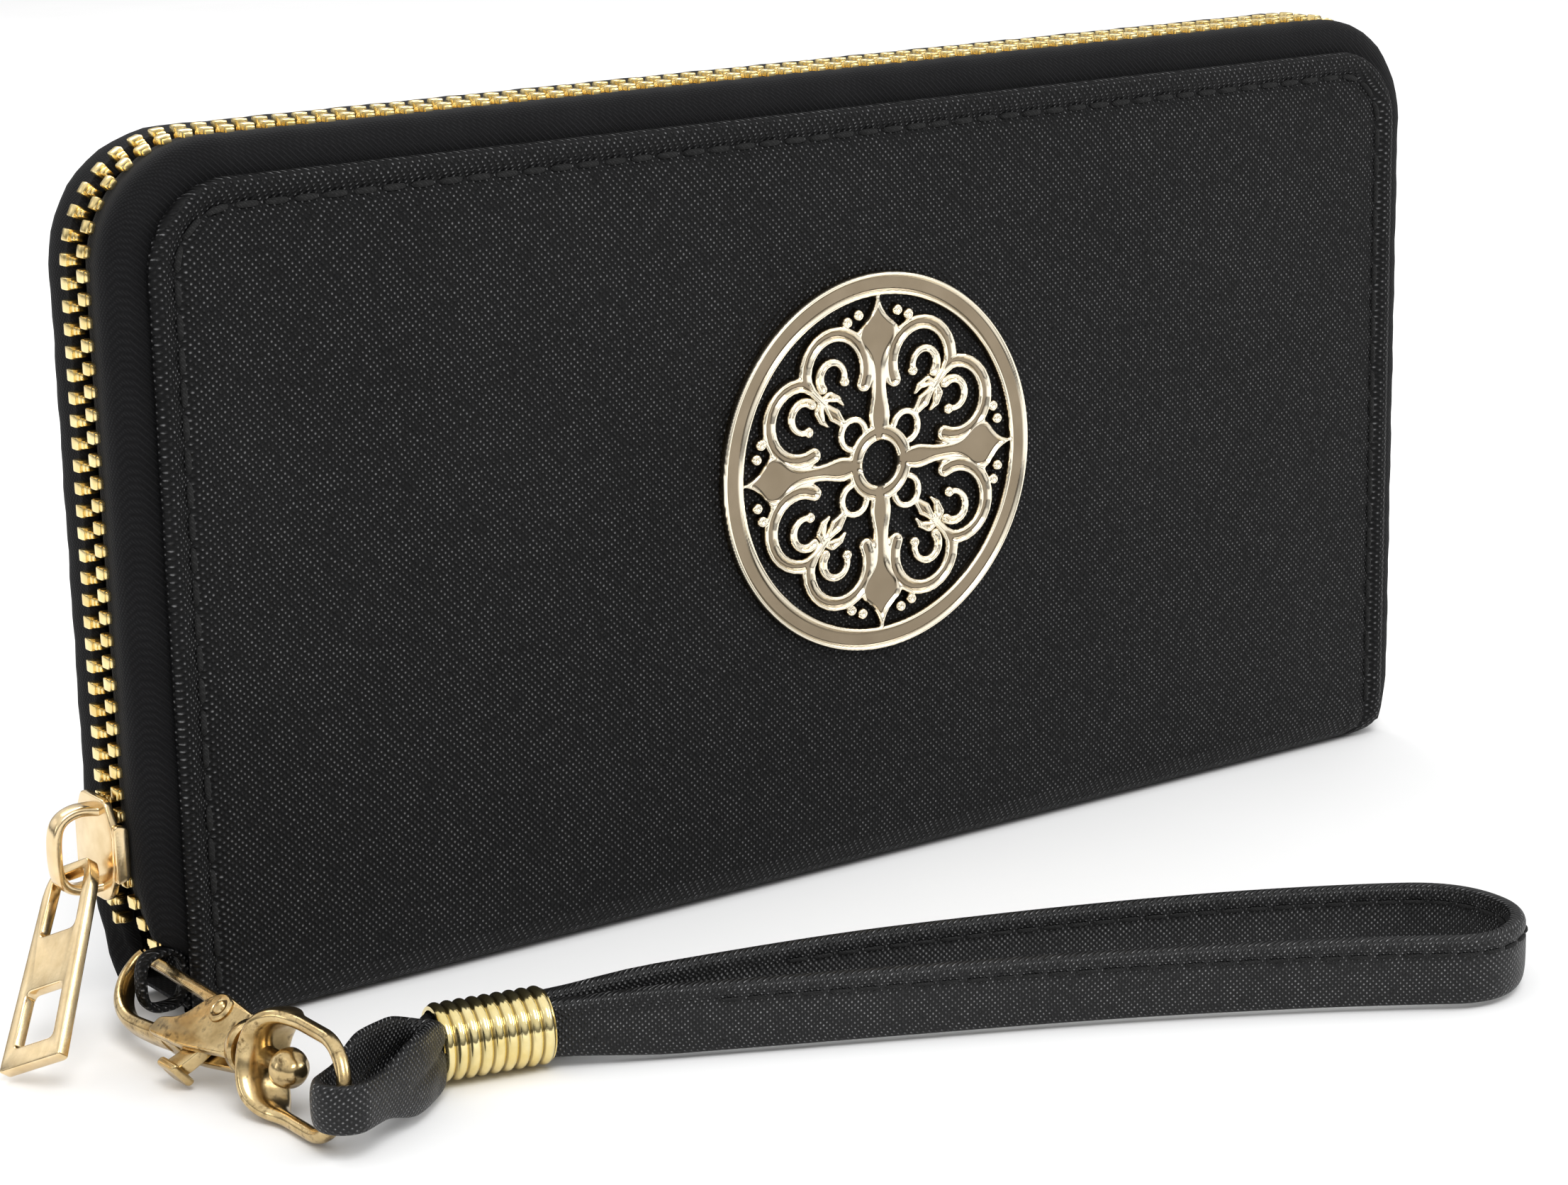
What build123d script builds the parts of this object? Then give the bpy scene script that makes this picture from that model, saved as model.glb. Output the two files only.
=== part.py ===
"""A long zip around wallet that stands on its spine, with a wrist strap clipped to its left end.

The frame has +X along the wallet, +Y from the front cover to the back cover and +Z up.
The origin is the middle of the flat under the spine. All sizes are in millimetres.
"""

import os
from math import pi, radians, tan

from build123d import *

# Wallet
WIDTH = 187.0
HEIGHT = 96.6
THICKNESS = 20.0
CORNER = 10.0
LEATHER = 1.6
BOARD = 1.0
LINING = 0.5
CARD_LAYER = 0.3
CARD_TIERS = 4
CARD_HALF_WIDTH = 82.0
CARD_TOP = 84.0
CARD_STEP = 14.0
HINGE_Z = 8.0
HINGE_GAP = 0.2
SPINE_RADIUS = 4.0
GUSSET_X = 84.0

# Main zip, which runs up the left end, over the top and down the right end
TOOTH_PITCH = 2.54
TOOTH_HIGH = 2.4
TOOTH_WIDE = 2.0
TOOTH_LONG = 1.3
TOOTH_INNER = 0.7
CHAIN_OUT = 3.3
TAPE = 0.8
TAPE_OUT = 3.7
TAPE_INSET = 3.0
LEAF_GAP = 0.02
ZIP_FOOT = 12.0
ZIP_SPLIT = 32.0
FIRST_TOOTH = 5
SPLIT_TOOTH = 13
LAST_TOOTH = 144

# Zip slider and its pull tab
SLIDER_FOOT = 15.7
SLIDER_LENGTH = 12.0
SLIDER_HALF = 4.6
PLATE = 1.0
BRIDGE_HALF = 0.9
BRIDGE_WALL = 1.1
BRIDGE_OUT = 5.4
PULL_PIVOT = Vector(-(WIDTH / 2 + 8.8), 0, SLIDER_FOOT + 3.7)
PULL_ACROSS = Vector(0.3016, -0.8647, 0.4022)
PULL_DOWN = Vector(-0.5074, -0.5026, -0.7000)
PULL_LENGTH = 23.9
PULL_THICK = 1.5
PULL_BAR_RADIUS = 0.65

# Coin pocket
COIN_HALF_WIDTH = 80.0
COIN_HALF_DEPTH = 1.2
COIN_WALL = 0.4
COIN_FOOT = 9.0
COIN_TOP = 76.0
COIN_TAPE_TOP = 80.0
COIN_PULL_LENGTH = 13.0
COIN_PITCH = 2.0
COIN_SLIDER_X = -70.0

# Medallion
MEDALLION_X = 3.9
MEDALLION_Z = 52.5
MEDALLION_RADIUS = 23.9
MEDALLION_RIM = 3.0
MEDALLION_THICK = 0.9
PRONG_RADIUS = 22.4
PRONG_DISC = 2.2

# Clasp: its axis runs from the neck towards the anchor tab, along +Y
CLASP_X = -97.3
CLASP_Z = 6.3
NECK_Y = -31.0
CLASP_ROLL = 40.0
RING_TILT = 12.0
RING_WIRE = 0.95
RING_BEND = 5.3
RING_STRAIGHT = 13.5

# Ferrule and wrist strap
FERRULE_START = Vector(-79.6, -38.3, 4.7)
FERRULE_END = Vector(-67.0, -41.1, 4.7)
FERRULE_RADIUS = 4.4
FERRULE_BORE = 3.6
STRAP_WIDTH = 8.0
STRAP_THICK = 2.4
STRAP_Z = 4.7
STRAP_ROUTE = [
    (-67.0, -42.6), (-50.0, -51.4), (-30.0, -61.4), (-10.0, -71.6), (8.0, -82.4), (18.0, -89.2),
    (26.3, -95.3), (35.8, -90.1), (35.9, -79.3),
    (26.0, -72.2), (10.0, -63.2), (-12.0, -53.8), (-38.0, -44.8), (-67.0, -39.6),
]


def save(piece, label):
    """Names a finished piece and writes it to its own file."""
    piece.part.label = label
    export_step(piece.part, f"parts/{label}.step")


def block(x, y, z, mode=Mode.ADD):
    """A box between the (low, high) pairs x, y and z."""
    with Locations((sum(x) / 2, sum(y) / 2, sum(z) / 2)):
        Box(x[1] - x[0], y[1] - y[0], z[1] - z[0], mode=mode)


def facing(side, low, high):
    """The (low, high) pair in Y of a layer between two distances from the middle, on one side."""
    return (low, high) if side > 0 else (-high, -low)


def arch(offset, foot):
    """The outline of the wallet grown by offset, and cut off straight at the height foot."""
    half = WIDTH / 2 + offset
    top = HEIGHT + offset
    corners = [(-half, foot), (-half, top), (half, top), (half, foot)]
    FilletPolyline(*corners, radius=CORNER + offset)
    Line(corners[-1], corners[0])


def arched_layer(y, inset, foot):
    """A flat layer with the wallet's outline, set in from the edge, between the pair y."""
    with BuildSketch(Plane.XZ.offset(-y[1])) as outline:
        with BuildLine():
            arch(-inset, foot)
        make_face()
    extrude(outline.sketch, amount=y[1] - y[0])


def prong_places():
    """Where the four prongs of the medallion go through the front cover."""
    return PolarLocations(PRONG_RADIUS, 4, 45)


# Covers, boards and linings -------------------------------------------------------------

HALF = THICKNESS / 2
COVER_IN = HALF - LEATHER
BOARD_IN = COVER_IN - BOARD
LINING_IN = BOARD_IN - LINING
PANEL_FOOT = HINGE_Z + HINGE_GAP
LINER_FOOT = HINGE_Z + 1.0
MEDALLION_PLANE = Plane((MEDALLION_X, 0, MEDALLION_Z), x_dir=(1, 0, 0), z_dir=(0, -1, 0))


def cover(label, side, pronged):
    """A leather cover; the front one is slit for the medallion's prongs."""
    with BuildPart() as piece:
        arched_layer(facing(side, COVER_IN, HALF), 0, PANEL_FOOT)
        if pronged:
            with BuildSketch(MEDALLION_PLANE.offset(COVER_IN)):
                with prong_places():
                    Rectangle(0.9, 2.0)
            extrude(amount=LEATHER, mode=Mode.SUBTRACT)
    save(piece, label)


def board(label, side, pronged):
    """The stiff board under a cover; the front one is holed for the discs behind the prongs."""
    with BuildPart() as piece:
        arched_layer(facing(side, BOARD_IN, COVER_IN), 2.0, LINER_FOOT)
        if pronged:
            with BuildSketch(MEDALLION_PLANE.offset(BOARD_IN)):
                with prong_places():
                    Circle(PRONG_DISC + 0.3)
            extrude(amount=BOARD, mode=Mode.SUBTRACT)
    save(piece, label)


def lining(label, side):
    """The lining inside a board."""
    with BuildPart() as piece:
        arched_layer(facing(side, LINING_IN, BOARD_IN), 2.5, LINER_FOOT)
    save(piece, label)


def card_panel(label, side):
    """The backing panel that the card slots are sewn to."""
    with BuildPart() as piece:
        y = facing(side, LINING_IN - CARD_LAYER, LINING_IN)
        block((-CARD_HALF_WIDTH, CARD_HALF_WIDTH), y, (LINER_FOOT, CARD_TOP + 4))
    save(piece, label)


def card_slot(label, side, tier):
    """One row of card slots, shorter than the row behind it and one layer nearer the middle."""
    back = LINING_IN - CARD_LAYER * (tier + 1)
    with BuildPart() as piece:
        y = facing(side, back - CARD_LAYER, back)
        top = CARD_TOP - CARD_STEP * tier
        block((-CARD_HALF_WIDTH, CARD_HALF_WIDTH), y, (LINER_FOOT, top))
    save(piece, label)


os.makedirs("parts", exist_ok=True)

for name, side in (("front", -1), ("back", 1)):
    cover(f"{name}_cover", side, side < 0)
    board(f"{name}_board", side, side < 0)
    lining(f"{name}_lining", side)
    card_panel(f"{name}_card_panel", side)
    for tier in range(CARD_TIERS):
        card_slot(f"{name}_card_slot_{tier + 1}", side, tier)

# Spine ----------------------------------------------------------------------------------

with BuildPart() as spine_wrap:
    with BuildSketch(Plane.YZ.offset(-WIDTH / 2)):
        with BuildLine():
            FilletPolyline((-HALF, HINGE_Z), (-HALF, 0), (HALF, 0), (HALF, HINGE_Z), radius=SPINE_RADIUS)
            Line((HALF, HINGE_Z), (-HALF, HINGE_Z))
        make_face()
        with BuildLine():
            FilletPolyline(
                (-COVER_IN, HINGE_Z + 1), (-COVER_IN, LEATHER), (COVER_IN, LEATHER), (COVER_IN, HINGE_Z + 1),
                radius=SPINE_RADIUS - LEATHER,
            )
            Line((COVER_IN, HINGE_Z + 1), (-COVER_IN, HINGE_Z + 1))
        make_face(mode=Mode.SUBTRACT)
    extrude(amount=WIDTH)
save(spine_wrap, "spine_wrap")

with BuildPart() as spine_board:
    block((-WIDTH / 2 + 2, WIDTH / 2 - 2), (-5.8, 5.8), (LEATHER, LEATHER + 0.8))
save(spine_board, "spine_board")

with BuildPart() as spine_lining:
    block((-WIDTH / 2 + 1, WIDTH / 2 - 1), (-6.2, 6.2), (LEATHER + 0.8, LEATHER + 1.2))
save(spine_lining, "spine_lining")

for name, side in (("left", -1), ("right", 1)):
    with BuildPart() as gusset:
        edges = sorted((side * GUSSET_X, side * (GUSSET_X + 0.5)))
        block(edges, (-LINING_IN + 0.6, LINING_IN - 0.6), (LINER_FOOT, CARD_TOP - 6))
    save(gusset, f"{name}_gusset")

# Main zip -------------------------------------------------------------------------------


def arched_band(y, outer, inner):
    """A band that follows the wallet's outline, between two offsets from it."""
    with BuildSketch(Plane.XZ.offset(-y[1])) as outline:
        with BuildLine():
            arch(outer, ZIP_FOOT)
        make_face()
        with BuildLine():
            arch(inner, ZIP_FOOT - 1)
        make_face(mode=Mode.SUBTRACT)
    extrude(outline.sketch, amount=y[1] - y[0])


def zip_tape(label, side, split_mode=None):
    """A tape of two leaves: a wall out to the teeth, and inside it the edge sewn to the cover."""
    with BuildPart() as piece:
        arched_band(facing(side, TOOTH_INNER + TOOTH_WIDE, LINING_IN), TAPE_OUT, TAPE_OUT - TAPE)
        arched_band(facing(side, LINING_IN - 0.5, LINING_IN), TAPE_OUT - TAPE - LEAF_GAP, -TAPE_INSET)
        if split_mode:
            block((-WIDTH, -WIDTH / 4), (-HALF, HALF), (0, ZIP_SPLIT), mode=split_mode)
    save(piece, label)


zip_tape("back_zip_tape", 1)
zip_tape("front_zip_tape", -1, Mode.SUBTRACT)
zip_tape("zip_end_tape", -1, Mode.INTERSECT)

STRAIGHT_UP = HEIGHT - CORNER
ARC = (CORNER + CHAIN_OUT) * pi / 2
TOP_RUN = WIDTH - 2 * CORNER


def chain_place(distance):
    """The place on the middle line of the teeth, measured from the floor at the left end."""
    side = WIDTH / 2 + CHAIN_OUT
    if distance < STRAIGHT_UP:
        return Location((-side, 0, distance), (0, 180, 0))
    distance -= STRAIGHT_UP
    if distance < ARC:
        turn = 180 - 90 * distance / ARC
        centre = Location((-WIDTH / 2 + CORNER, 0, STRAIGHT_UP), (0, -turn, 0))
        return centre * Location((CORNER + CHAIN_OUT, 0, 0))
    distance -= ARC
    if distance < TOP_RUN:
        return Location((-TOP_RUN / 2 + distance, 0, HEIGHT + CHAIN_OUT), (0, -90, 0))
    distance -= TOP_RUN
    if distance < ARC:
        turn = 90 - 90 * distance / ARC
        centre = Location((WIDTH / 2 - CORNER, 0, STRAIGHT_UP), (0, -turn, 0))
        return centre * Location((CORNER + CHAIN_OUT, 0, 0))
    return Location((side, 0, STRAIGHT_UP + ARC - distance), (0, 0, 0))


def tooth_row(label, side, first, last):
    """The heads of one row of teeth, which leave a lane down the middle for the slider's post."""
    phase = 0.5 if side > 0 else 0
    places = [chain_place((tooth + phase) * TOOTH_PITCH) for tooth in range(first, last)]
    with BuildPart() as piece:
        with Locations(*places):
            with Locations((0, side * (TOOTH_INNER + TOOTH_WIDE / 2), 0)):
                Box(TOOTH_HIGH, TOOTH_WIDE, TOOTH_LONG)
    save(piece, label)


tooth_row("back_zip_teeth", 1, FIRST_TOOTH, LAST_TOOTH)
tooth_row("front_zip_teeth", -1, SPLIT_TOOTH, LAST_TOOTH)
tooth_row("zip_end_teeth", -1, FIRST_TOOTH, SPLIT_TOOTH)

with BuildPart() as zip_stop:
    right = WIDTH / 2 + CHAIN_OUT
    block((right - 1.3, right + 1.3), (TOOTH_INNER, TOOTH_INNER + TOOTH_WIDE), (ZIP_FOOT, ZIP_FOOT + 2.2))
save(zip_stop, "zip_stop")

# Slider ---------------------------------------------------------------------------------


def outward(*offsets):
    """The (low, high) pair in X of two distances outside the left edge of the covers."""
    return tuple(sorted(-(WIDTH / 2 + offset) for offset in offsets))


SLIDER_TOP = SLIDER_FOOT + SLIDER_LENGTH
INNER_PLATE = (0.6, 0.6 + PLATE)
OUTER_PLATE = (5.2, 5.2 + PLATE)
PLATE_SHAPE = [
    (-2.6, SLIDER_TOP), (2.6, SLIDER_TOP), (SLIDER_HALF, SLIDER_TOP - 3.5), (SLIDER_HALF, SLIDER_FOOT + 3),
    (3.0, SLIDER_FOOT), (-3.0, SLIDER_FOOT), (-SLIDER_HALF, SLIDER_FOOT + 3), (-SLIDER_HALF, SLIDER_TOP - 3.5),
]

with BuildPart() as slider_body:
    for plate in (INNER_PLATE, OUTER_PLATE):
        with BuildSketch(Plane.YZ.offset(-(WIDTH / 2 + plate[1]))) as plate_face:
            with BuildLine():
                Polyline(*PLATE_SHAPE, close=True)
            make_face()
            fillet(plate_face.vertices(), 0.9)
        extrude(amount=PLATE)
    for side in (-1, 1):
        flange = facing(side, SLIDER_HALF - 0.8, SLIDER_HALF)
        block(outward(INNER_PLATE[1], 2.4), flange, (SLIDER_FOOT + 3.5, SLIDER_TOP - 4))
        block(outward(4.2, OUTER_PLATE[0]), flange, (SLIDER_FOOT + 3.5, SLIDER_TOP - 4))
    block(outward(INNER_PLATE[1], OUTER_PLATE[0]), (-0.45, 0.45), (SLIDER_FOOT + 0.5, SLIDER_FOOT + 3))
save(slider_body, "slider_body")

with BuildPart() as slider_bridge:
    with BuildSketch(Plane.XZ.offset(-BRIDGE_HALF)):
        foot = SLIDER_FOOT + 1
        top = SLIDER_TOP - 1
        base = -(WIDTH / 2 + OUTER_PLATE[1])
        with BuildLine():
            FilletPolyline((base, foot), (base - BRIDGE_OUT, foot), (base - BRIDGE_OUT, top), (base, top), radius=2.4)
            Line((base, top), (base, foot))
        make_face()
        with BuildLine():
            inside = base - BRIDGE_OUT + BRIDGE_WALL
            low = foot + BRIDGE_WALL
            high = top - BRIDGE_WALL
            FilletPolyline((base + 1, low), (inside, low), (inside, high), (base + 1, high), radius=1.3)
            Line((base + 1, high), (base + 1, low))
        make_face(mode=Mode.SUBTRACT)
    extrude(amount=2 * BRIDGE_HALF)
save(slider_bridge, "slider_bridge")

PULL_PLANE = Plane(PULL_PIVOT, x_dir=PULL_ACROSS, z_dir=PULL_ACROSS.cross(PULL_DOWN))
TOP_HALF = 4.1
END_HALF = 5.1

with BuildPart() as pull_tab:
    with BuildSketch(PULL_PLANE) as tab_face:
        with BuildLine():
            Polyline(
                (-TOP_HALF, 1.6), (-TOP_HALF + 1.4, -PULL_BAR_RADIUS), (TOP_HALF - 1.4, -PULL_BAR_RADIUS),
                (TOP_HALF, 1.6), (END_HALF, PULL_LENGTH), (-END_HALF, PULL_LENGTH), close=True,
            )
        make_face()
        with Locations((0, 4.3)):
            RectangleRounded(6.0, 7.3, 0.8, mode=Mode.SUBTRACT)
        with Locations((0, PULL_LENGTH - 5.4)):
            RectangleRounded(6.6, 7.6, 0.8, mode=Mode.SUBTRACT)
    extrude(amount=PULL_THICK / 2, both=True)
save(pull_tab, "pull_tab")

# Coin pocket ----------------------------------------------------------------------------

WALL_IN = COIN_HALF_DEPTH - COIN_WALL

for name, side in (("front", -1), ("back", 1)):
    layer = facing(side, WALL_IN, COIN_HALF_DEPTH)
    with BuildPart() as coin_wall:
        block((-COIN_HALF_WIDTH, COIN_HALF_WIDTH), layer, (COIN_FOOT, COIN_TOP))
    save(coin_wall, f"coin_pocket_{name}_wall")

with BuildPart() as coin_pocket_edge:
    block((-COIN_HALF_WIDTH, COIN_HALF_WIDTH), (-WALL_IN, WALL_IN), (COIN_FOOT, COIN_TOP))
    inner = COIN_HALF_WIDTH - 3
    block((-inner, inner), (-WALL_IN, WALL_IN), (COIN_FOOT + 3, COIN_TOP + 1), mode=Mode.SUBTRACT)
save(coin_pocket_edge, "coin_pocket_edge")

with BuildPart() as coin_zip_tape:
    for side in (-1, 1):
        layer = facing(side, WALL_IN, COIN_HALF_DEPTH)
        block((-COIN_HALF_WIDTH, COIN_HALF_WIDTH), layer, (COIN_TOP, COIN_TAPE_TOP))
save(coin_zip_tape, "coin_zip_tape")

with BuildPart() as coin_zip_teeth:
    count = int(2 * (COIN_HALF_WIDTH - 3) / COIN_PITCH)
    for side in (-1, 1):
        with Locations((side * COIN_PITCH / 4, side * 1.2, COIN_TAPE_TOP + 0.9)):
            with GridLocations(COIN_PITCH, 1, count, 1):
                Box(1.1, 1.2, 1.8)
save(coin_zip_teeth, "coin_zip_teeth")

with BuildPart() as coin_zip_stops:
    for end in (-1, 1):
        middle = end * (COIN_HALF_WIDTH - 1.2)
        block((middle - 0.8, middle + 0.8), (-1.8, 1.8), (COIN_TAPE_TOP, COIN_TAPE_TOP + 1.8))
save(coin_zip_stops, "coin_zip_stops")

COIN_ROOF = COIN_TAPE_TOP + 2.3
COIN_PULL_Z = COIN_ROOF + 1.9

with BuildPart() as coin_slider:
    along = (COIN_SLIDER_X - 4, COIN_SLIDER_X + 4)
    block(along, (-2.9, 2.9), (COIN_TAPE_TOP - 1.2, COIN_ROOF + 0.7))
    block((along[0] - 1, along[1] + 1), (-2.3, 2.3), (COIN_TAPE_TOP - 0.5, COIN_ROOF), mode=Mode.SUBTRACT)
    block((along[0] - 1, along[1] + 1), (-1.6, 1.6), (COIN_TAPE_TOP - 2, COIN_TAPE_TOP), mode=Mode.SUBTRACT)
    with Locations((COIN_SLIDER_X, 0, COIN_PULL_Z)):
        Cylinder(1.5, 1.4, rotation=(90, 0, 0))
        Cylinder(0.75, 2, rotation=(90, 0, 0), mode=Mode.SUBTRACT)
save(coin_slider, "coin_slider")

with BuildPart() as coin_pull:
    with Locations((COIN_SLIDER_X, 0, COIN_PULL_Z)):
        Cylinder(0.5, 3.6, rotation=(90, 0, 0))
    for side in (-1, 1):
        block((COIN_SLIDER_X - 0.5, COIN_SLIDER_X + 3), facing(side, 1.2, 2.0), (COIN_PULL_Z - 0.5, COIN_PULL_Z + 0.5))
    tongue = (COIN_SLIDER_X + 2.4, COIN_SLIDER_X + COIN_PULL_LENGTH)
    block(tongue, (-2.0, 2.0), (COIN_PULL_Z - 0.5, COIN_PULL_Z + 0.5))
save(coin_pull, "coin_pull")

# Medallion ------------------------------------------------------------------------------

LOOP_CENTRE = 11.6
LOOP_RADIUS = 8.4

with BuildPart() as medallion:
    with BuildSketch(MEDALLION_PLANE.offset(HALF)):
        Circle(MEDALLION_RADIUS)
        Circle(MEDALLION_RADIUS - MEDALLION_RIM, mode=Mode.SUBTRACT)
        with PolarLocations(LOOP_CENTRE, 4, 45):
            Circle(LOOP_RADIUS)
            Circle(LOOP_RADIUS - 1.5, mode=Mode.SUBTRACT)
        for turn in (0, 90):
            Rectangle(2 * MEDALLION_RADIUS - 3, 2.0, rotation=turn)
        Circle(4.4)
        Circle(2.8, mode=Mode.SUBTRACT)
    extrude(amount=MEDALLION_THICK)
    with BuildSketch(MEDALLION_PLANE.offset(HALF)):
        with prong_places():
            Rectangle(0.5, 1.6)
    extrude(amount=-LEATHER - 0.5)
save(medallion, "medallion")

with BuildPart() as prong_discs:
    with BuildSketch(MEDALLION_PLANE.offset(COVER_IN - 0.5)):
        with prong_places():
            Circle(PRONG_DISC)
            Rectangle(0.5, 1.6, mode=Mode.SUBTRACT)
    extrude(amount=0.5)
save(prong_discs, "prong_discs")

# Anchor tab for the clasp ---------------------------------------------------------------

TAB_Y = (-8.1, -5.9)
TAB_CENTRE = (-95.85, 7.0)

with BuildPart() as anchor_tab:
    with BuildSketch(Plane.XZ.offset(-TAB_Y[1])):
        with Locations(TAB_CENTRE):
            RectangleRounded(6.5, 7.6, 2.6)
            RectangleRounded(4.3, 5.4, 1.5, mode=Mode.SUBTRACT)
    extrude(amount=TAB_Y[1] - TAB_Y[0])
    block((-93.4, -87.0), TAB_Y, (3.2, 5.2))
save(anchor_tab, "anchor_tab")

# Clasp ----------------------------------------------------------------------------------

NECK = Vector(CLASP_X, NECK_Y, CLASP_Z)
FLAT_NORMAL = Vector(-1, 0, 0).rotate(Axis.Y, 90 - CLASP_ROLL)
CLASP_PLANE = Plane(NECK, x_dir=(0, 1, 0), z_dir=FLAT_NORMAL)
NECK_PLANE = Plane(NECK, x_dir=(1, 0, 0), z_dir=(0, 1, 0))
GATE_PIVOT = (6.6, -1.4)
SHANK_HALF = 2.2
CLAW_HALF = 1.5
SLOT_HALF = 1.15

with BuildPart() as hook_body:
    with BuildSketch(CLASP_PLANE):
        with BuildLine():
            Polyline(
                (1.4, -2.8), (9.4, -3.2), (10.6, -1.0), (12.0, 1.6), (15.0, 2.8), (15.0, 4.9), (9.0, 4.2),
                (1.4, 2.8), close=True,
            )
        make_face()
    extrude(amount=SHANK_HALF, both=True)
    with BuildSketch(CLASP_PLANE):
        with BuildLine():
            Spline((14.6, 4.9), (21.0, 5.4), (27.0, 4.2), (30.2, 0.2), (29.6, -3.6))
            Line((29.6, -3.6), (28.6, -3.2))
            Spline((28.6, -3.2), (28.2, 0.0), (25.8, 2.8), (21.0, 3.5), (14.6, 2.8))
            Line((14.6, 2.7), (14.6, 4.9))
        make_face()
    extrude(amount=CLAW_HALF, both=True)
    with BuildSketch(CLASP_PLANE):
        with Locations((7.4, 0)):
            Rectangle(9.4, 14)
    extrude(amount=SLOT_HALF, both=True, mode=Mode.SUBTRACT)
    with BuildSketch(CLASP_PLANE):
        with Locations(GATE_PIVOT):
            Circle(0.85)
    extrude(amount=4, both=True, mode=Mode.SUBTRACT)
    with BuildSketch(NECK_PLANE):
        Circle(3.1)
    extrude(amount=1.6)
save(hook_body, "hook_body")

with BuildPart() as gate_rivet:
    with BuildSketch(CLASP_PLANE):
        with Locations(GATE_PIVOT):
            Circle(0.8)
    extrude(amount=SHANK_HALF, both=True)
    for end in (-1, 1):
        with BuildSketch(CLASP_PLANE.offset(end * SHANK_HALF)):
            with Locations(GATE_PIVOT):
                Circle(1.5)
        extrude(amount=end * 0.5)
save(gate_rivet, "gate_rivet")

with BuildPart() as hook_gate:
    with BuildSketch(CLASP_PLANE) as gate_face:
        with Locations(GATE_PIVOT):
            Circle(1.7)
        with BuildLine():
            Polyline(
                (6.0, -3.0), (28.2, -3.4), (28.2, -2.0), (13.0, -1.7), (9.0, -0.4), (9.6, 4.4), (10.6, 7.0),
                (8.2, 7.0), (7.2, 4.4), (5.6, -0.4), close=True,
            )
        make_face()
        with Locations(GATE_PIVOT):
            Circle(0.85, mode=Mode.SUBTRACT)
    extrude(amount=0.85, both=True)
save(hook_gate, "hook_gate")

with BuildPart() as gate_spring:
    with BuildSketch(CLASP_PLANE):
        with Locations((4.1, 1.6)):
            Rectangle(2.2, 0.9)
    extrude(amount=0.7, both=True)
save(gate_spring, "gate_spring")

with BuildPart() as swivel_stem:
    with BuildSketch(NECK_PLANE):
        Circle(1.2)
    extrude(amount=-8.4)
    with BuildSketch(NECK_PLANE.offset(-6.6)):
        Circle(2.2)
    extrude(amount=-3.2)
    fillet(swivel_stem.faces().sort_by(Axis.Y)[0].edges(), 1.0)
save(swivel_stem, "swivel_stem")

RING_PLANE = Plane(NECK, x_dir=(0, -1, 0), z_dir=Vector(-1, 0, 0).rotate(Axis.Y, RING_TILT))

with BuildPart() as swivel_eye:
    with BuildSketch(RING_PLANE):
        with BuildLine():
            Polyline(
                (0.4, -2.8), (0.4, 2.8), (3.0, 5.3), (5.6, 5.8), (5.6, 4.5), (4.6, 3.2), (4.6, -3.2),
                (5.6, -4.5), (5.6, -5.8), (3.0, -5.3), close=True,
            )
        make_face()
    extrude(amount=2.2, both=True)
    with BuildSketch(NECK_PLANE):
        Circle(1.5)
    extrude(amount=-8, mode=Mode.SUBTRACT)
    with BuildLine(RING_PLANE) as ring_path:
        Line((4.6, RING_BEND), (RING_STRAIGHT, RING_BEND))
        ThreePointArc((RING_STRAIGHT, RING_BEND), (RING_STRAIGHT + RING_BEND, 0), (RING_STRAIGHT, -RING_BEND))
        Line((RING_STRAIGHT, -RING_BEND), (4.6, -RING_BEND))
    with BuildSketch(Plane(ring_path.line @ 0, z_dir=ring_path.line % 0)):
        Circle(RING_WIRE)
    sweep(path=ring_path.line)
save(swivel_eye, "swivel_eye")

# Ferrule and wrist strap ----------------------------------------------------------------

FERRULE_AXIS = (FERRULE_END - FERRULE_START).normalized()
FERRULE_LENGTH = (FERRULE_END - FERRULE_START).length
FERRULE_PLANE = Plane(FERRULE_START, x_dir=FERRULE_AXIS.cross(Vector(0, 0, 1)), z_dir=FERRULE_AXIS)
RIBS = 9

with BuildPart() as ferrule:
    with BuildSketch(FERRULE_PLANE):
        Circle(FERRULE_RADIUS - 0.4)
        Circle(FERRULE_BORE, mode=Mode.SUBTRACT)
    extrude(amount=FERRULE_LENGTH)
    for rib in range(RIBS):
        rib_start = FERRULE_LENGTH * rib / RIBS
        with BuildSketch(FERRULE_PLANE.offset(rib_start + 0.2)):
            Circle(FERRULE_RADIUS)
            Circle(FERRULE_BORE + 0.2, mode=Mode.SUBTRACT)
        extrude(amount=FERRULE_LENGTH / RIBS - 0.4)
save(ferrule, "ferrule")

FAR_WIRE = (CLASP_X, NECK_Y - RING_STRAIGHT - RING_BEND)

LOOP_MOUTH = FERRULE_START - FERRULE_AXIS * 2.4
LOOP_HEIGHT = 4.4

with BuildPart() as strap_end_loop:
    with BuildSketch(Plane.XY.offset(CLASP_Z - 0.3 - LOOP_HEIGHT / 2)):
        with Locations(FAR_WIRE):
            Circle(3.4)
        with Locations((LOOP_MOUTH.X, LOOP_MOUTH.Y)):
            Circle(2.3)
        make_hull()
    extrude(amount=LOOP_HEIGHT)
    with BuildSketch(Plane.XY.offset(CLASP_Z - 0.3 - LOOP_HEIGHT / 2)):
        with Locations(FAR_WIRE):
            Circle(2.1)
        with Locations((LOOP_MOUTH.X - 2.6, LOOP_MOUTH.Y - 1.8)):
            Circle(0.5)
        make_hull()
    extrude(amount=LOOP_HEIGHT, mode=Mode.SUBTRACT)
    with BuildSketch(FERRULE_PLANE.offset(-1.5)):
        Rectangle(5.0, 4.6)
    extrude(amount=FERRULE_LENGTH + 1.5)
save(strap_end_loop, "strap_end_loop")


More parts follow.
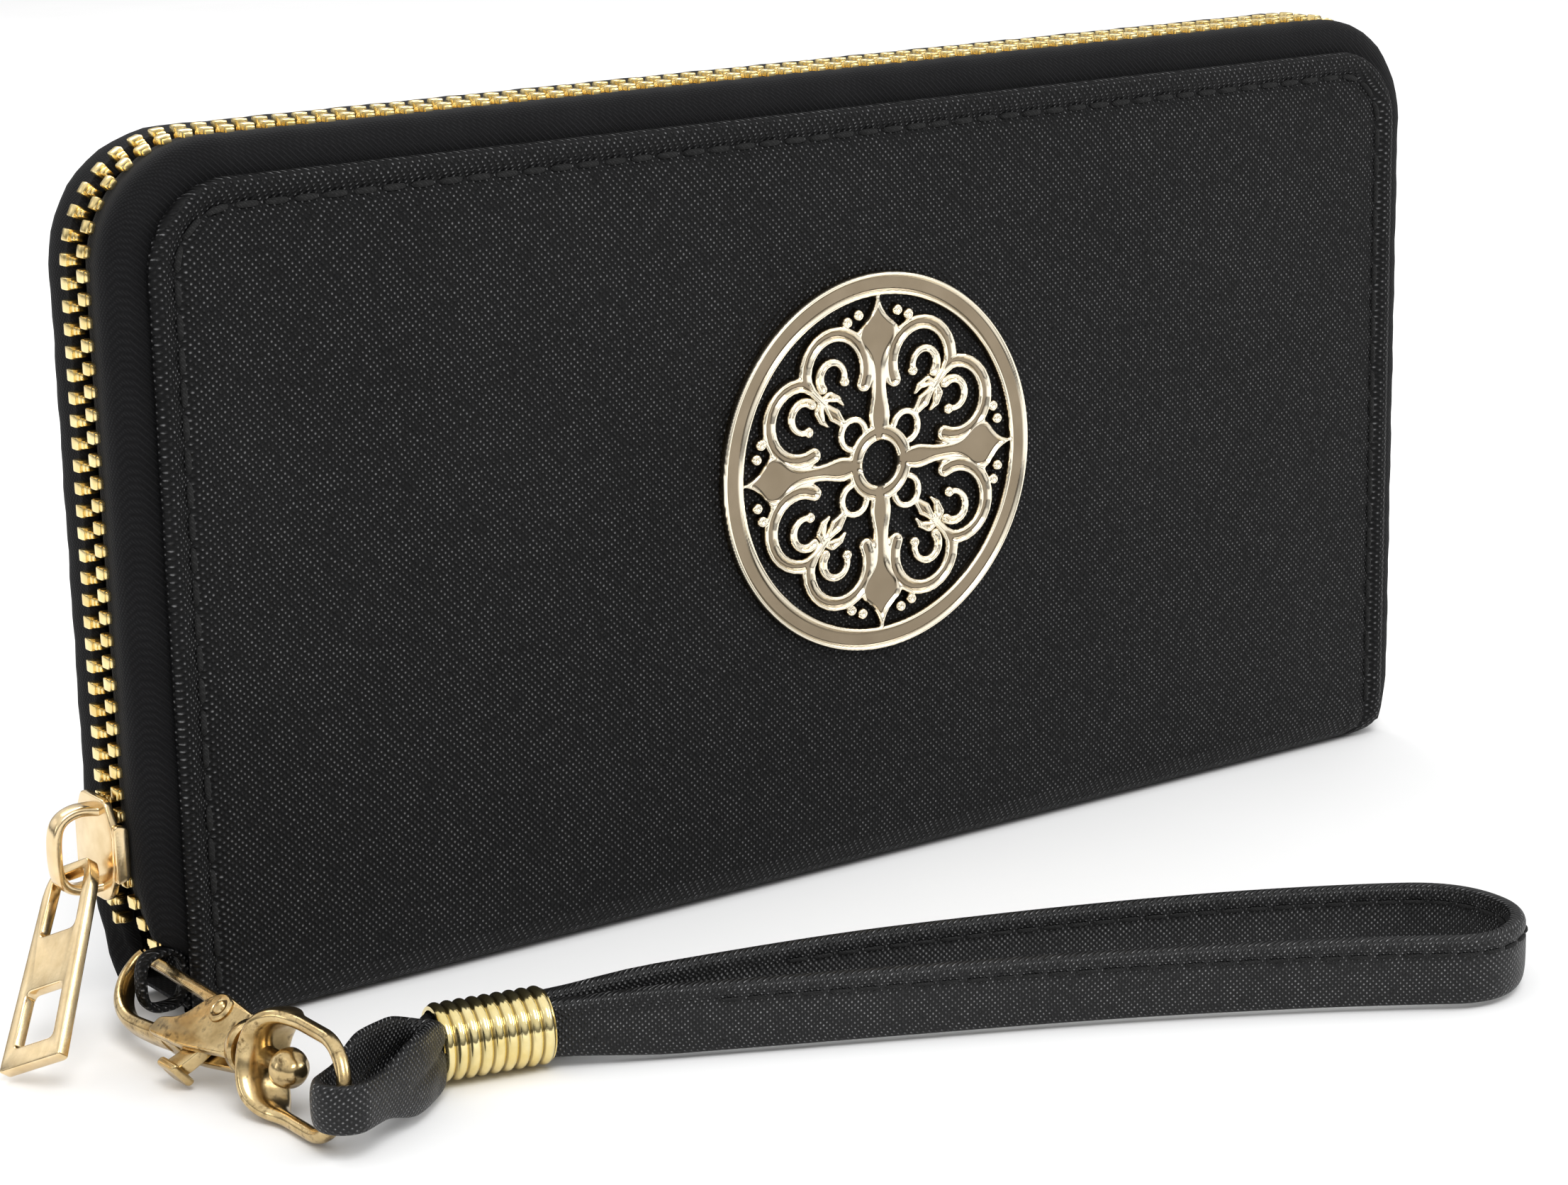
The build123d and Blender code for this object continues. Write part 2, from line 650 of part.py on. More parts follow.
def strap_radii():
    """The bend at each inner point of the strap's route, as large as its two runs allow."""
    radii = []
    for before, here, after in zip(STRAP_ROUTE, STRAP_ROUTE[1:], STRAP_ROUTE[2:]):
        arriving = Vector(*here) - Vector(*before)
        leaving = Vector(*after) - Vector(*here)
        shorter = min(arriving.length, leaving.length)
        half_turn = radians(arriving.get_angle(leaving)) / 2
        radii.append(0.45 * shorter / tan(half_turn))
    return radii


with BuildPart() as wrist_strap:
    with BuildLine(Plane.XY.offset(STRAP_Z)) as strap_path:
        FilletPolyline(*STRAP_ROUTE, radius=strap_radii())
    with BuildSketch(Plane(strap_path.line @ 0, x_dir=(0, 0, 1), z_dir=strap_path.line % 0)):
        Rectangle(STRAP_WIDTH, STRAP_THICK)
    sweep(path=strap_path.line)
save(wrist_strap, "wrist_strap")

strap_length = sum(edge.length for edge in strap_path.edges())
print("strap bend radii:", [round(radius, 1) for radius in strap_radii()])
print(f"strap length {strap_length:.1f}, volume {wrist_strap.part.volume:.0f},",
      f"section x length {STRAP_WIDTH * STRAP_THICK * strap_length:.0f}")
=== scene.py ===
"""The looks of the zip around wallet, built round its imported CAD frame.

Lengths inside the helpers are millimetres in the CAD frame; meshes are written in metres.
"""

import math

import bmesh
import bpy
import numpy as np
from mathutils import Matrix, Vector


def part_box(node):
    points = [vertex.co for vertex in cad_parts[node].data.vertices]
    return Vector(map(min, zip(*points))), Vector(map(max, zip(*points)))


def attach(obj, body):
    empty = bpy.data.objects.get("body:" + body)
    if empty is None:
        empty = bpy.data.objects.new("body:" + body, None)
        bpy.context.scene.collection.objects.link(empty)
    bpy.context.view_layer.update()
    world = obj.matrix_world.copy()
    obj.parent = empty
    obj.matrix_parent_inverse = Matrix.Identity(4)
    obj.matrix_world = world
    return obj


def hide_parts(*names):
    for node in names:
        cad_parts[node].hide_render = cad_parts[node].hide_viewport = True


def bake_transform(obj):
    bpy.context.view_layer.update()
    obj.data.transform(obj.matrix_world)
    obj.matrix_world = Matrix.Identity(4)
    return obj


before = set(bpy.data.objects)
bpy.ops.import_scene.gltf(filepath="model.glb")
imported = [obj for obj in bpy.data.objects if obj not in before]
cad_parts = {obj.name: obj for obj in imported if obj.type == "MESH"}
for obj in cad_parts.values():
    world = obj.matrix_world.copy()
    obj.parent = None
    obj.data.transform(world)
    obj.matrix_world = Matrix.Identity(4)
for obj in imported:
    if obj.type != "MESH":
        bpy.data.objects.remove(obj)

MM = 0.001
X, Y, Z = (1, 0, 0), (0, 1, 0), (0, 0, 1)
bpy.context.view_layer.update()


def node_box(node):
    """(lowest, highest) corner of a CAD node in millimetres."""
    low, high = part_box(node)
    return np.array(low) / MM, np.array(high) / MM


def clamp(t):
    return min(max(t, 0.0), 1.0)


def ease(t):
    """A smooth step from 0 to 1."""
    t = clamp(t)
    return t * t * (3 - 2 * t)


def unit(v):
    return np.asarray(v, float) / np.linalg.norm(v)


def turns(count):
    """Angles evenly round a circle."""
    return [2 * math.pi * i / count for i in range(count)]


def distances(path):
    """How far each point of a path lies along it."""
    return np.concatenate([[0], np.cumsum(np.linalg.norm(np.diff(path, axis=0), axis=1))])


# Materials


class Shader:
    """A node material with a few short ways to add nodes."""

    def __init__(self, name, metallic=0.0, laid=False, **sockets):
        self.material = bpy.data.materials.new(name)
        self.material.use_nodes = True
        self.tree = self.material.node_tree
        self.bsdf = self.tree.nodes["Principled BSDF"].inputs
        self.bsdf["Metallic"].default_value = metallic
        for socket, value in sockets.items():
            self.bsdf[socket.replace("_", " ")].default_value = value
        if laid:
            self.place = self.node("Attribute", attribute_name="lay").outputs["Vector"]
        else:
            self.place = self.node("TexCoord").outputs["Object"]

    def node(self, kind, sockets=(), **settings):
        """A node with its settings, and with values or links for its sockets."""
        made = self.tree.nodes.new("ShaderNode" + kind)
        for key, value in settings.items():
            setattr(made, key, value)
        for socket, value in dict(sockets).items():
            self.feed(made.inputs[socket], value)
        return made

    def feed(self, socket, value):
        if isinstance(value, bpy.types.NodeSocket):
            self.tree.links.new(value, socket)
        else:
            socket.default_value = value

    def math(self, operation, *values):
        return self.node("Math", enumerate(values), operation=operation).outputs[0]

    def split(self):
        """The place on the piece as three sockets, in millimetres."""
        made = self.node("SeparateXYZ", {0: self.place})
        return [self.math("MULTIPLY", made.outputs[i], 1 / MM) for i in range(3)]

    def noise(self, size, detail=2.0, roughness=0.5):
        """Noise from 0 to 1 whose features are about size millimetres."""
        sockets = {"Scale": 1 / (size * MM), "Detail": detail, "Roughness": roughness, "Vector": self.place}
        return self.node("TexNoise", sockets).outputs["Fac"]

    def wave(self, along, pitch):
        """A cosine from 0 to 1 with a pitch in millimetres."""
        turned = self.math("COSINE", self.math("MULTIPLY", along, 2 * math.pi / pitch))
        return self.math("MULTIPLY_ADD", turned, 0.5, 0.5)

    def ramp(self, value, stops):
        made = self.node("ValToRGB", {0: value})
        points = made.color_ramp.elements
        while len(points) < len(stops):
            points.new(0.5)
        for point, (at, colour) in zip(points, stops):
            point.position = at
            point.color = (*colour, 1)
        return made.outputs[0]

    def spread(self, value, low, high):
        """A value from 0 to 1 stretched to the range low to high."""
        return self.math("MULTIPLY_ADD", value, high - low, low)

    def finish(self, colour, roughness, bumps=()):
        """Connects the colour, the roughness and bumps given as (height, millimetres, strength)."""
        made = {"Base Color": colour, "Roughness": roughness}
        for height, distance, strength in bumps:
            under = {"Normal": made["Normal"]} if "Normal" in made else {}
            bump = self.node("Bump", {"Distance": distance * MM, "Strength": strength, "Height": height, **under})
            made["Normal"] = bump.outputs[0]
        for socket, value in made.items():
            self.feed(self.bsdf[socket], value)
        return self.material


def grained_leather(name, pitch, dark, light, specular, rough, depth, laid=False):
    """Black leather embossed with a fine diagonal cross-hatch, which follows the strap where it is laid along one."""
    s = Shader(name, laid=laid, IOR=1.45, Specular_IOR_Level=specular)
    x, y, z = s.split()
    drift = s.math("ADD", y, s.math("MULTIPLY", s.noise(6.0), 0.5))
    waves = [s.wave(s.math("ADD", s.math(way, x, z), drift), pitch * math.sqrt(2)) for way in ("ADD", "SUBTRACT")]
    grain = s.math("MULTIPLY", *waves)
    uneven = s.noise(0.55, 3.0, 0.6)
    tops = s.math("MULTIPLY", grain, s.spread(uneven, 0.2, 1.7))
    # painted highlights: the grain tops are painted towards the light colour, partly as lighter worn tops and partly as
    # painted glints
    worn_tops_and_highlights = s.math("MULTIPLY", s.math("POWER", grain, 2.2), s.spread(s.noise(0.75, 2.0, 0.6), -0.9, 3.2))
    shade = s.math("MULTIPLY_ADD", s.noise(25.0), 0.12, s.math("MULTIPLY", worn_tops_and_highlights, 0.75))
    middle = tuple(0.89 * a + 0.11 * b for a, b in zip(dark, light))
    colour = s.ramp(shade, [(0.05, dark), (0.42, middle), (1.0, light)])
    roughness = s.spread(s.noise(2.5, 3.0), *rough)
    return s.finish(colour, roughness, [(uneven, 0.06, 0.4), (tops, depth, 1.0)])


def smooth_leather(name, dark, light):
    """Plain black leather with a pebbled grain."""
    s = Shader(name, IOR=1.45, Specular_IOR_Level=0.35)
    cells = s.node("TexVoronoi", {"Scale": 1 / (0.7 * MM), "Vector": s.place}, feature="SMOOTH_F1")
    height = s.math("MULTIPLY_ADD", s.noise(0.3, 3.0), 0.3, cells.outputs["Distance"])
    colour = s.ramp(s.noise(4.0, 4.0), [(0.25, dark), (0.8, light)])
    return s.finish(colour, s.spread(s.noise(1.5), 0.42, 0.6), [(height, 0.08, 0.6)])


def woven(name, dark, light, pitch=0.55, depth=0.14):
    """Cloth with a slanting twill."""
    s = Shader(name, IOR=1.45, Specular_IOR_Level=0.12, Sheen_Weight=0.03, Sheen_Roughness=0.5)
    x, y, z = s.split()
    around = s.math("ADD", x, z)
    wale = s.wave(s.math("MULTIPLY_ADD", y, 1.0, s.math("MULTIPLY", around, 0.45)), pitch)
    pick = s.wave(s.math("MULTIPLY_ADD", y, -0.5, around), pitch * 1.1)
    fibre = s.noise(0.22, 3.0, 0.7)
    height = s.math("MULTIPLY_ADD", fibre, 0.8, s.math("MULTIPLY", s.math("MULTIPLY", wale, pick), 0.6))
    shade = s.math("MULTIPLY", height, s.spread(s.noise(5.0), 0.5, 0.9))
    colour = s.ramp(shade, [(0.1, dark), (0.9, light)])
    return s.finish(colour, s.spread(fibre, 0.72, 0.92), [(height, depth, 0.8)])


def metal(name, dark, light, rough, depth=0.012, shade_and_patch_colour=None, patchy=True, brushed=None):
    """Plated metal, with cloudy colour, fine scratches and, if asked, painted shade in its recesses and darker patches.
    """
    s = Shader(name, metallic=1.0)
    colour = s.ramp(s.noise(3.2, 4.0, 0.6), [(0.3, dark), (0.72, light)])
    if shade_and_patch_colour:
        # painted shade: concave places, found by their pointiness, are painted the dark colour as shade in recesses,
        # creases and between ribs
        edges = s.node("NewGeometry").outputs["Pointiness"]
        shade_and_patch_mask = s.ramp(edges, [(0.455, (1, 1, 1)), (0.497, (0, 0, 0))])
        # darker patches at random, in the same dark colour
        if patchy:
            shade_and_patch_mask = s.math("MAXIMUM", shade_and_patch_mask, s.ramp(s.noise(1.6, 5.0, 0.65), [(0.52, (0, 0, 0)), (0.7, (1, 1, 1))]))
        # sockets 0, 6 and 7 of a colour mix are its factor and its two colours, and its output 2 is the colour
        colour = s.node("Mix", {0: shade_and_patch_mask, 6: colour, 7: (*shade_and_patch_colour, 1)}, data_type="RGBA").outputs[2]
    bumps = [(s.noise(0.3, 4.0, 0.6), depth, 0.5)]
    if brushed:
        stretch = s.node("Mapping", {"Vector": s.place, "Scale": [1 / (size * MM) for size in brushed]})
        streak = s.node("TexNoise", {"Scale": 1.0, "Detail": 3.0, "Vector": stretch.outputs[0]})
        bumps.append((streak.outputs["Fac"], 0.008, 0.5))
    return s.finish(colour, s.spread(s.noise(1.1, 3.0), *rough), bumps)


def pressed_board():
    s = Shader("pressed_board", IOR=1.45, Specular_IOR_Level=0.2)
    fibre = s.noise(0.8, 5.0, 0.7)
    colour = s.ramp(fibre, [(0.2, (0.02, 0.02, 0.021)), (0.8, (0.05, 0.048, 0.046))])
    return s.finish(colour, s.spread(fibre, 0.8, 0.95), [(fibre, 0.08, 0.6)])


def stamped_gold(flat_y):
    """Champagne plate: satin flats, and bright cream painted where the stamping stands up from flat_y, as a painted
    highlight along the raised beads.
    """
    s = Shader("stamped_gold", metallic=1.0)
    raised = s.math("MULTIPLY_ADD", s.split()[1], -1 / 0.35, flat_y / 0.35)
    # painted highlight: the colour runs from dark brown on the flats to bright cream with the height above flat_y; the
    # noise adds tone at random
    tone_and_bead_highlight = s.math("MULTIPLY_ADD", s.noise(5.0, 3.0), 0.25, s.math("MAXIMUM", raised, 0.0))
    colour = s.ramp(tone_and_bead_highlight, [(0.08, (0.2, 0.158, 0.105)), (0.3, (0.29, 0.235, 0.165)), (0.75, (0.98, 0.89, 0.71))])
    return s.finish(colour, s.spread(s.noise(1.3, 3.0), 0.14, 0.26), [(s.noise(0.35, 4.0), 0.01, 0.5)])


# Sizes read from the frame, and sizes shared by several pieces

cover_low, cover_high = node_box("back_cover")
HALF_WIDTH, HALF_DEPTH, TOP = cover_high
LEATHER = cover_high[1] - cover_low[1]
CORNER = 10.0
SPINE_RADIUS = 4.0
FOOT_CORNER = 4.6
CHAIN_OUT = 3.3
medal_low, medal_high = node_box("medallion")
MEDAL = (medal_low + medal_high) / 2
MEDAL_RADIUS = (medal_high[0] - medal_low[0]) / 2
FRONT_FACE = -HALF_DEPTH - 0.2

# Finishes: (material, the record's slot)

# the light colour of each grained leather shows only on its grain tops: partly lighter worn tops, partly painted
# highlights
SAFFIANO = grained_leather(
    "saffiano", 0.62, (0.0012, 0.0012, 0.0014), (0.135, 0.135, 0.137), specular=0.17, rough=(0.45, 0.6), depth=0.2
), "saffiano"
STRAP_LEATHER = grained_leather(
    "strap_leather", 0.5, (0.003, 0.003, 0.0033), (0.21, 0.21, 0.212), specular=0.34, rough=(0.36, 0.5), depth=0.16,
    laid=True,
), "strap_leather"
CARD_LEATHER = smooth_leather("card_leather", (0.014, 0.014, 0.015), (0.034, 0.034, 0.036)), "card_leather"
LINING = woven("lining_twill", (0.008, 0.008, 0.009), (0.035, 0.035, 0.038), pitch=0.7), "lining"
TAPE = woven("zip_tape_twill", (0.002, 0.002, 0.0023), (0.016, 0.016, 0.017), pitch=0.4, depth=0.1), "zip_tape"
BOARD = pressed_board()
THREAD = woven("thread", (0.006, 0.006, 0.006), (0.035, 0.035, 0.035), pitch=0.35, depth=0.06)
COVER_THREAD, STRAP_THREAD = (THREAD, "saffiano"), (THREAD, "strap_leather")
TEETH_GOLD = metal("teeth_gold", (0.78, 0.58, 0.22), (0.95, 0.79, 0.42), (0.16, 0.3), depth=0.004), "gold_teeth"
SATIN_GOLD = metal("satin_gold", (0.7, 0.52, 0.28), (0.88, 0.7, 0.43), (0.14, 0.26)), "satin_gold"
# the ferrule's dark colour is painted shade between its ribs; the brass's dark colour is painted shade in its recesses
# and also colours its darker patches
FERRULE_GOLD = metal(
    "ferrule_gold", (0.8, 0.64, 0.26), (0.95, 0.82, 0.45), (0.08, 0.16), shade_and_patch_colour=(0.3, 0.21, 0.07), patchy=False
), "satin_gold"
BRASS = metal(
    "antique_brass", (0.38, 0.26, 0.11), (0.8, 0.62, 0.33), (0.16, 0.3), shade_and_patch_colour=(0.13, 0.08, 0.03),
    depth=0.01, brushed=(0.3, 4.0, 0.5),
), "antique_brass"
STEEL = metal("spring_steel", (0.45, 0.45, 0.45), (0.65, 0.65, 0.66), (0.25, 0.35)), "spring_steel"
STAMPED = stamped_gold(FRONT_FACE - 0.65), "stamped_gold"


# Mesh helpers


def add(name, data):
    """An object in the scene."""
    made = bpy.data.objects.new(name, data)
    bpy.context.scene.collection.objects.link(made)
    return made


def curve_mesh(data):
    """The mesh that Blender makes of a curve."""
    holder = add(data.name, data)
    bpy.context.view_layer.update()
    mesh = bpy.data.meshes.new_from_object(holder.evaluated_get(bpy.context.evaluated_depsgraph_get()))
    bpy.data.objects.remove(holder)
    return mesh


def build(name, points, faces, finish, body=None, replaces=(), sharp=40.0, blend=None):
    """A piece from points in millimetres, smooth but for edges above sharp degrees, tied to its body, or, when a blend
    is given, tied to no body with its transform baked.
    """
    mesh = bpy.data.meshes.new(name)
    mesh.from_pydata((np.asarray(points, float) * MM).tolist(), [], [list(f) for f in faces])
    mesh.validate()
    work = bmesh.new()
    work.from_mesh(mesh)
    bmesh.ops.remove_doubles(work, verts=work.verts, dist=0.002 * MM)
    bmesh.ops.recalc_face_normals(work, faces=work.faces)
    work.to_mesh(mesh)
    work.free()
    material, slot = finish
    mesh.materials.append(material)
    mesh.shade_smooth()
    mesh.set_sharp_from_angle(angle=math.radians(sharp))
    piece = add(name, mesh)
    if blend:
        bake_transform(piece)
    else:
        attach(piece, body)
    if replaces:
        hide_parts(*replaces)
    return piece


def joined(parts):
    """Several (points, faces) as one."""
    points, faces = [], []
    for some_points, some_faces in parts:
        base = len(points)
        points += [tuple(p) for p in some_points]
        faces += [[base + i for i in face] for face in some_faces]
    return points, faces


def loft(rings, looped=False):
    """Faces between closed rings of equally many points. Both ends are capped unless the rings are looped."""
    count = len(rings[0])
    points = [tuple(p) for ring in rings for p in ring]
    faces = []
    for i in range(len(rings) if looped else len(rings) - 1):
        a, b = i * count, (i + 1) % len(rings) * count
        faces += [(a + j, a + (j + 1) % count, b + (j + 1) % count, b + j) for j in range(count)]
    if not looped:
        faces += [tuple(range(count))[::-1], tuple((len(rings) - 1) * count + j for j in range(count))]
    return points, faces


def superellipse(half_wide, half_high, power=3.0, count=20):
    """Points of a rounded rectangle round the origin."""
    def squared(c):
        return math.copysign(abs(c) ** (2 / power), c)

    return [(half_wide * squared(math.cos(a)), half_high * squared(math.sin(a))) for a in turns(count)]


def swept(path, sections, up, looped=False):
    """Sections carried along a path. Each section's first axis is across the path and its second is up."""
    path = [np.asarray(p, float) for p in path]
    rings = []
    for i, here in enumerate(path):
        before = path[i - 1] if i > 0 or looped else here
        after = path[(i + 1) % len(path)] if i < len(path) - 1 or looped else here
        along = unit(after - before)
        across = unit(np.cross(along, unit(up)))
        over = np.cross(across, along)
        section = sections[i] if isinstance(sections[0][0], (tuple, list)) else sections
        rings.append([here + u * across + v * over for u, v in section])
    return loft(rings, looped)


def curve_points(points, count):
    """A smooth Catmull-Rom line through the given points."""
    points = [np.asarray(p, float) for p in points]
    points = [2 * points[0] - points[1], *points, 2 * points[-1] - points[-2]]
    made = []
    for p0, p1, p2, p3 in zip(points, points[1:], points[2:], points[3:]):
        for t in (j / count for j in range(count)):
            made.append(0.5 * (
                2 * p1 + (p2 - p0) * t + (2 * p0 - 5 * p1 + 4 * p2 - p3) * t * t
                + (3 * p1 - p0 - 3 * p2 + p3) * t ** 3
            ))
    return made + [points[-2]]


def rounded(corners, radius, steps=5):
    """A closed outline with its corners rounded, by one radius or by a list of them."""
    corners = [np.asarray(c, float) for c in corners]
    radii = radius if isinstance(radius, list) else [radius] * len(corners)
    made = []
    for before, here, after, widest in zip(corners[-1:] + corners, corners, corners[1:] + corners[:1], radii):
        a, b = before - here, after - here
        reach = min(widest, 0.49 * np.linalg.norm(a), 0.49 * np.linalg.norm(b))
        start, end = here + unit(a) * reach, here + unit(b) * reach
        for t in (j / steps for j in range(steps + 1)):
            made.append((1 - t) ** 2 * start + 2 * t * (1 - t) * here + t * t * end)
    return made


def plate(loops, origin, across, over, half, bevel):
    """A flat plate with holes and bevelled edges. Its loops lie in the across and over directions."""
    data = bpy.data.curves.new("plate", "CURVE")
    data.dimensions = "2D"
    data.fill_mode = "BOTH"
    data.extrude = half - bevel
    data.bevel_depth = bevel
    data.bevel_resolution = 2
    data.offset = -bevel
    for loop in loops:
        spline = data.splines.new("POLY")
        spline.points.add(len(loop) - 1)
        for point, at in zip(spline.points, loop):
            point.co = (at[0], at[1], 0, 1)
        spline.use_cyclic_u = True
    mesh = curve_mesh(data)
    across, over = unit(across), unit(over)
    out = np.cross(across, over)
    points = [np.asarray(origin) + v.co.x * across + v.co.y * over + v.co.z * out for v in mesh.vertices]
    return points, [tuple(p.vertices) for p in mesh.polygons]


def rounded_box(low, high, radius, steps=2):
    """A box with rounded edges, as (points, faces)."""
    work = bmesh.new()
    bmesh.ops.create_cube(work, size=1.0)
    low, high = np.asarray(low, float), np.asarray(high, float)
    for vert in work.verts:
        vert.co = Vector((low + high) / 2 + np.array(vert.co) * (high - low))
    bmesh.ops.bevel(work, geom=work.edges[:], offset=radius, segments=steps, profile=0.5, affect="EDGES")
    work.verts.index_update()
    made = [tuple(v.co) for v in work.verts], [tuple(v.index for v in f.verts) for f in work.faces]
    work.free()
    return made


def lathe(profile, origin, axis, count=40):
    """A turned shape: profile holds (distance along the axis, radius)."""
    axis = unit(axis)
    first = unit(np.cross(axis, (0.3, 0.5, 0.8)))
    second = np.cross(axis, first)
    around = [math.cos(a) * first + math.sin(a) * second for a in turns(count)]
    return loft([[np.asarray(origin) + along * axis + radius * way for way in around] for along, radius in profile])


def lay_along(piece, path, sections):
    """Writes each point's place along the path and within the section, for leather cut along a strap."""
    lay = [(far * MM, u * MM, v * MM) for far, section in zip(distances(path), sections) for u, v in section]
    assert len(lay) == len(piece.data.vertices)
    stored = piece.data.attributes.new("lay", "FLOAT_VECTOR", "POINT")
    stored.data.foreach_set("vector", np.array(lay, np.float32).ravel())


def stitches(path, outward, radius, sunk, pitch=3.7, length=2.9):
    """Thread stitches along a path. outward gives the surface's direction at each of its points."""
    far = distances(path)

    def between(at, values):
        return np.array([np.interp(at, far, column) for column in np.transpose(values)])

    parts = []
    for n in range(int(far[-1] / pitch)):
        rings = []
        for t, size in ((-0.5, 0.25), (-0.42, 0.75), (-0.2, 1.0), (0.2, 1.0), (0.42, 0.75), (0.5, 0.25)):
            at = (n + 0.5) * pitch + t * length
            here, out = between(at, path), unit(between(at, outward))
            side = unit(np.cross(between(at + 0.05, path) - here, out))
            lift = -sunk - (1 - size) * radius * 0.8
            rings.append([
                here + out * (lift + radius * size * math.sin(a)) + side * radius * size * math.cos(a) for a in turns(8)
            ])
        parts.append(loft(rings))
    return joined(parts)


# Covers

FOOT_STEPS = 48
FRONT_FOOT, BACK_FOOT = -4.0, -10.5
STITCH_INSET = 3.2


def sheet_place(side, v, out):
    """(y, z) of a point of the outer leather: v is its height unrolled, out its distance off the CAD face."""
    radius = SPINE_RADIUS
    quarter = radius * math.pi / 2
    if v >= radius:
        return side * (HALF_DEPTH + out), v
    turn = (radius - v) / radius
    if v >= radius - quarter:
        reach = radius + out
        return side * (HALF_DEPTH - radius + reach * math.cos(turn)), radius - reach * math.sin(turn)
    return side * (HALF_DEPTH - radius + (v - radius + quarter)), -out


def foot_tuck(v):
    """How far the ends are drawn in towards the spine, so that the lower corners are round."""
    t = clamp((FOOT_CORNER - v) / FOOT_CORNER)
    return FOOT_CORNER * 0.75 * (1 - math.sqrt(1 - t * t))


def inset_outline(inset, foot):
    """The cover's unrolled outline, set in from its edge, as (x, v) points with a fixed count."""
    half, top, base = HALF_WIDTH - inset, TOP - inset, foot + inset
    bend = max(CORNER - inset, 0.6)
    knee = max(SPINE_RADIUS + 3, base + 3)
    arc = [math.pi / 2 * i / 10 for i in range(10)]
    points = []

    def run(start, end, count):
        points.extend(zip(*(np.linspace(a, b, count, endpoint=False) for a, b in zip(start, end))))

    run((-half, base), (-half, knee), 14)
    run((-half, knee), (-half, top - bend), 22)
    points += [(bend - half - bend * math.cos(a), top - bend + bend * math.sin(a)) for a in arc]
    run((bend - half, top), (half - bend, top), 48)
    points += [(half - bend + bend * math.sin(a), top - bend + bend * math.cos(a)) for a in arc]
    run((half, top - bend), (half, knee), 22)
    run((half, knee), (half, base), 14)
    run((half, base), (-half, base), FOOT_STEPS)
    return points


OUTER_PROFILE = [
    (0.0, -0.85), (0.1, -0.3), (0.4, 0.16), (0.95, 0.4), (1.6, 0.42), (2.2, 0.22), (2.75, -0.08), (3.2, -0.27),
    (3.65, -0.1), (4.3, 0.1), (5.6, 0.2), (8.0, 0.2), (14.0, 0.2), (24.0, 0.2), (38.0, 0.2),
]
INNER_PROFILE = [(38.0, -LEATHER), (20.0, -LEATHER), (4.0, -LEATHER), (1.2, -LEATHER), (0.35, -1.45)]


def cover_sheet(name, side, foot, **tie):
    """An outer leather: up one face of the wallet with a rolled, stitched edge, and round under the spine."""
    rings = []
    for inset, out in INNER_PROFILE + OUTER_PROFILE:
        ring = []
        for x, v in inset_outline(inset, foot):
            lift = out * clamp((v - 1.0) / 6.0) if out > 0 else out
            if out <= 0 and v < 3 and inset < 5:
                lift = min(out, -0.02)
            y, z = sheet_place(side, v, lift)
            ring.append((x * (1 - foot_tuck(v) / HALF_WIDTH), y, max(z, 0.0) if out > -LEATHER + 0.2 else z))
        rings.append(ring)
    build(name, *loft(rings), SAFFIANO, sharp=50, **tie)


def cover_stitches(name, side, **tie):
    path, outward = [], []
    for x, v in inset_outline(STITCH_INSET, FRONT_FOOT)[:-FOOT_STEPS]:
        if v < 1.0:
            continue
        y, z = sheet_place(side, v, -0.16)
        y2, z2 = sheet_place(side, v, 0.9)
        path.append((x * (1 - foot_tuck(v) / HALF_WIDTH), y, z))
        outward.append((0, y2 - y, z2 - z))
    build(name, *stitches(path, outward, radius=0.38, sunk=-0.1), COVER_THREAD, sharp=60, **tie)


HINGE_BLEND = ("root", "front_half", (0, -0.010, 0.0062), (0, -0.010, 0.0112))
cover_sheet("front_leather", -1, FRONT_FOOT, replaces=("front_cover",), blend=HINGE_BLEND)
cover_sheet("back_leather", 1, BACK_FOOT, body="root", replaces=("back_cover", "spine_wrap"))
cover_stitches("front_stitching", -1, blend=HINGE_BLEND)
cover_stitches("back_stitching", 1, body="root")


def spine_end(name, side):
    """The leather that closes the channel of the spine at one end."""
    half, floor = HALF_DEPTH - LEATHER - 0.1, LEATHER + 0.2
    outline = rounded([(-half, 8.0), (-half, floor), (half, floor), (half, 8.0)], [0.5, 2.2, 2.2, 0.5], 8)
    lip = [(y * 0.93, (z - 4.8) * 0.86 + 4.8) for y, z in outline]
    x = side * (HALF_WIDTH - FOOT_CORNER * 0.75 - 1.3)
    parts = [
        plate([outline], (x, 0, 0), Y, Z, 0.8, 0.3),
        swept([(x + side * 0.75, y, z) for y, z in lip], superellipse(0.25, 0.3, 2.2, 10), X, looped=True),
    ]
    build(name, *joined(parts), SAFFIANO, "root")


spine_end("left_spine_end", -1)
spine_end("right_spine_end", 1)

# Zip tapes

TAPE_FOOT = 1.6
SPLIT = 32.0
RISE, RUN = TOP - CORNER, 2 * (HALF_WIDTH - CORNER)
BEND = CORNER + CHAIN_OUT
ARC = BEND * math.pi / 2


def chain_frame(distance):
    """(point, outward, along) of the chain's middle line at a distance up from the floor at the left."""
    turn = (clamp((distance - RISE) / ARC) + clamp((distance - RISE - ARC - RUN) / ARC)) * math.pi / 2
    over = min(max(distance - RISE - ARC, 0.0), RUN)
    short = max(RISE - distance, 0.0) + max(distance - RISE - 2 * ARC - RUN, 0.0)
    out = np.array((-math.cos(turn), 0, math.sin(turn)))
    return np.array((over - RUN / 2, 0, RISE - short)) + BEND * out, out, np.array((math.sin(turn), 0, math.cos(turn)))


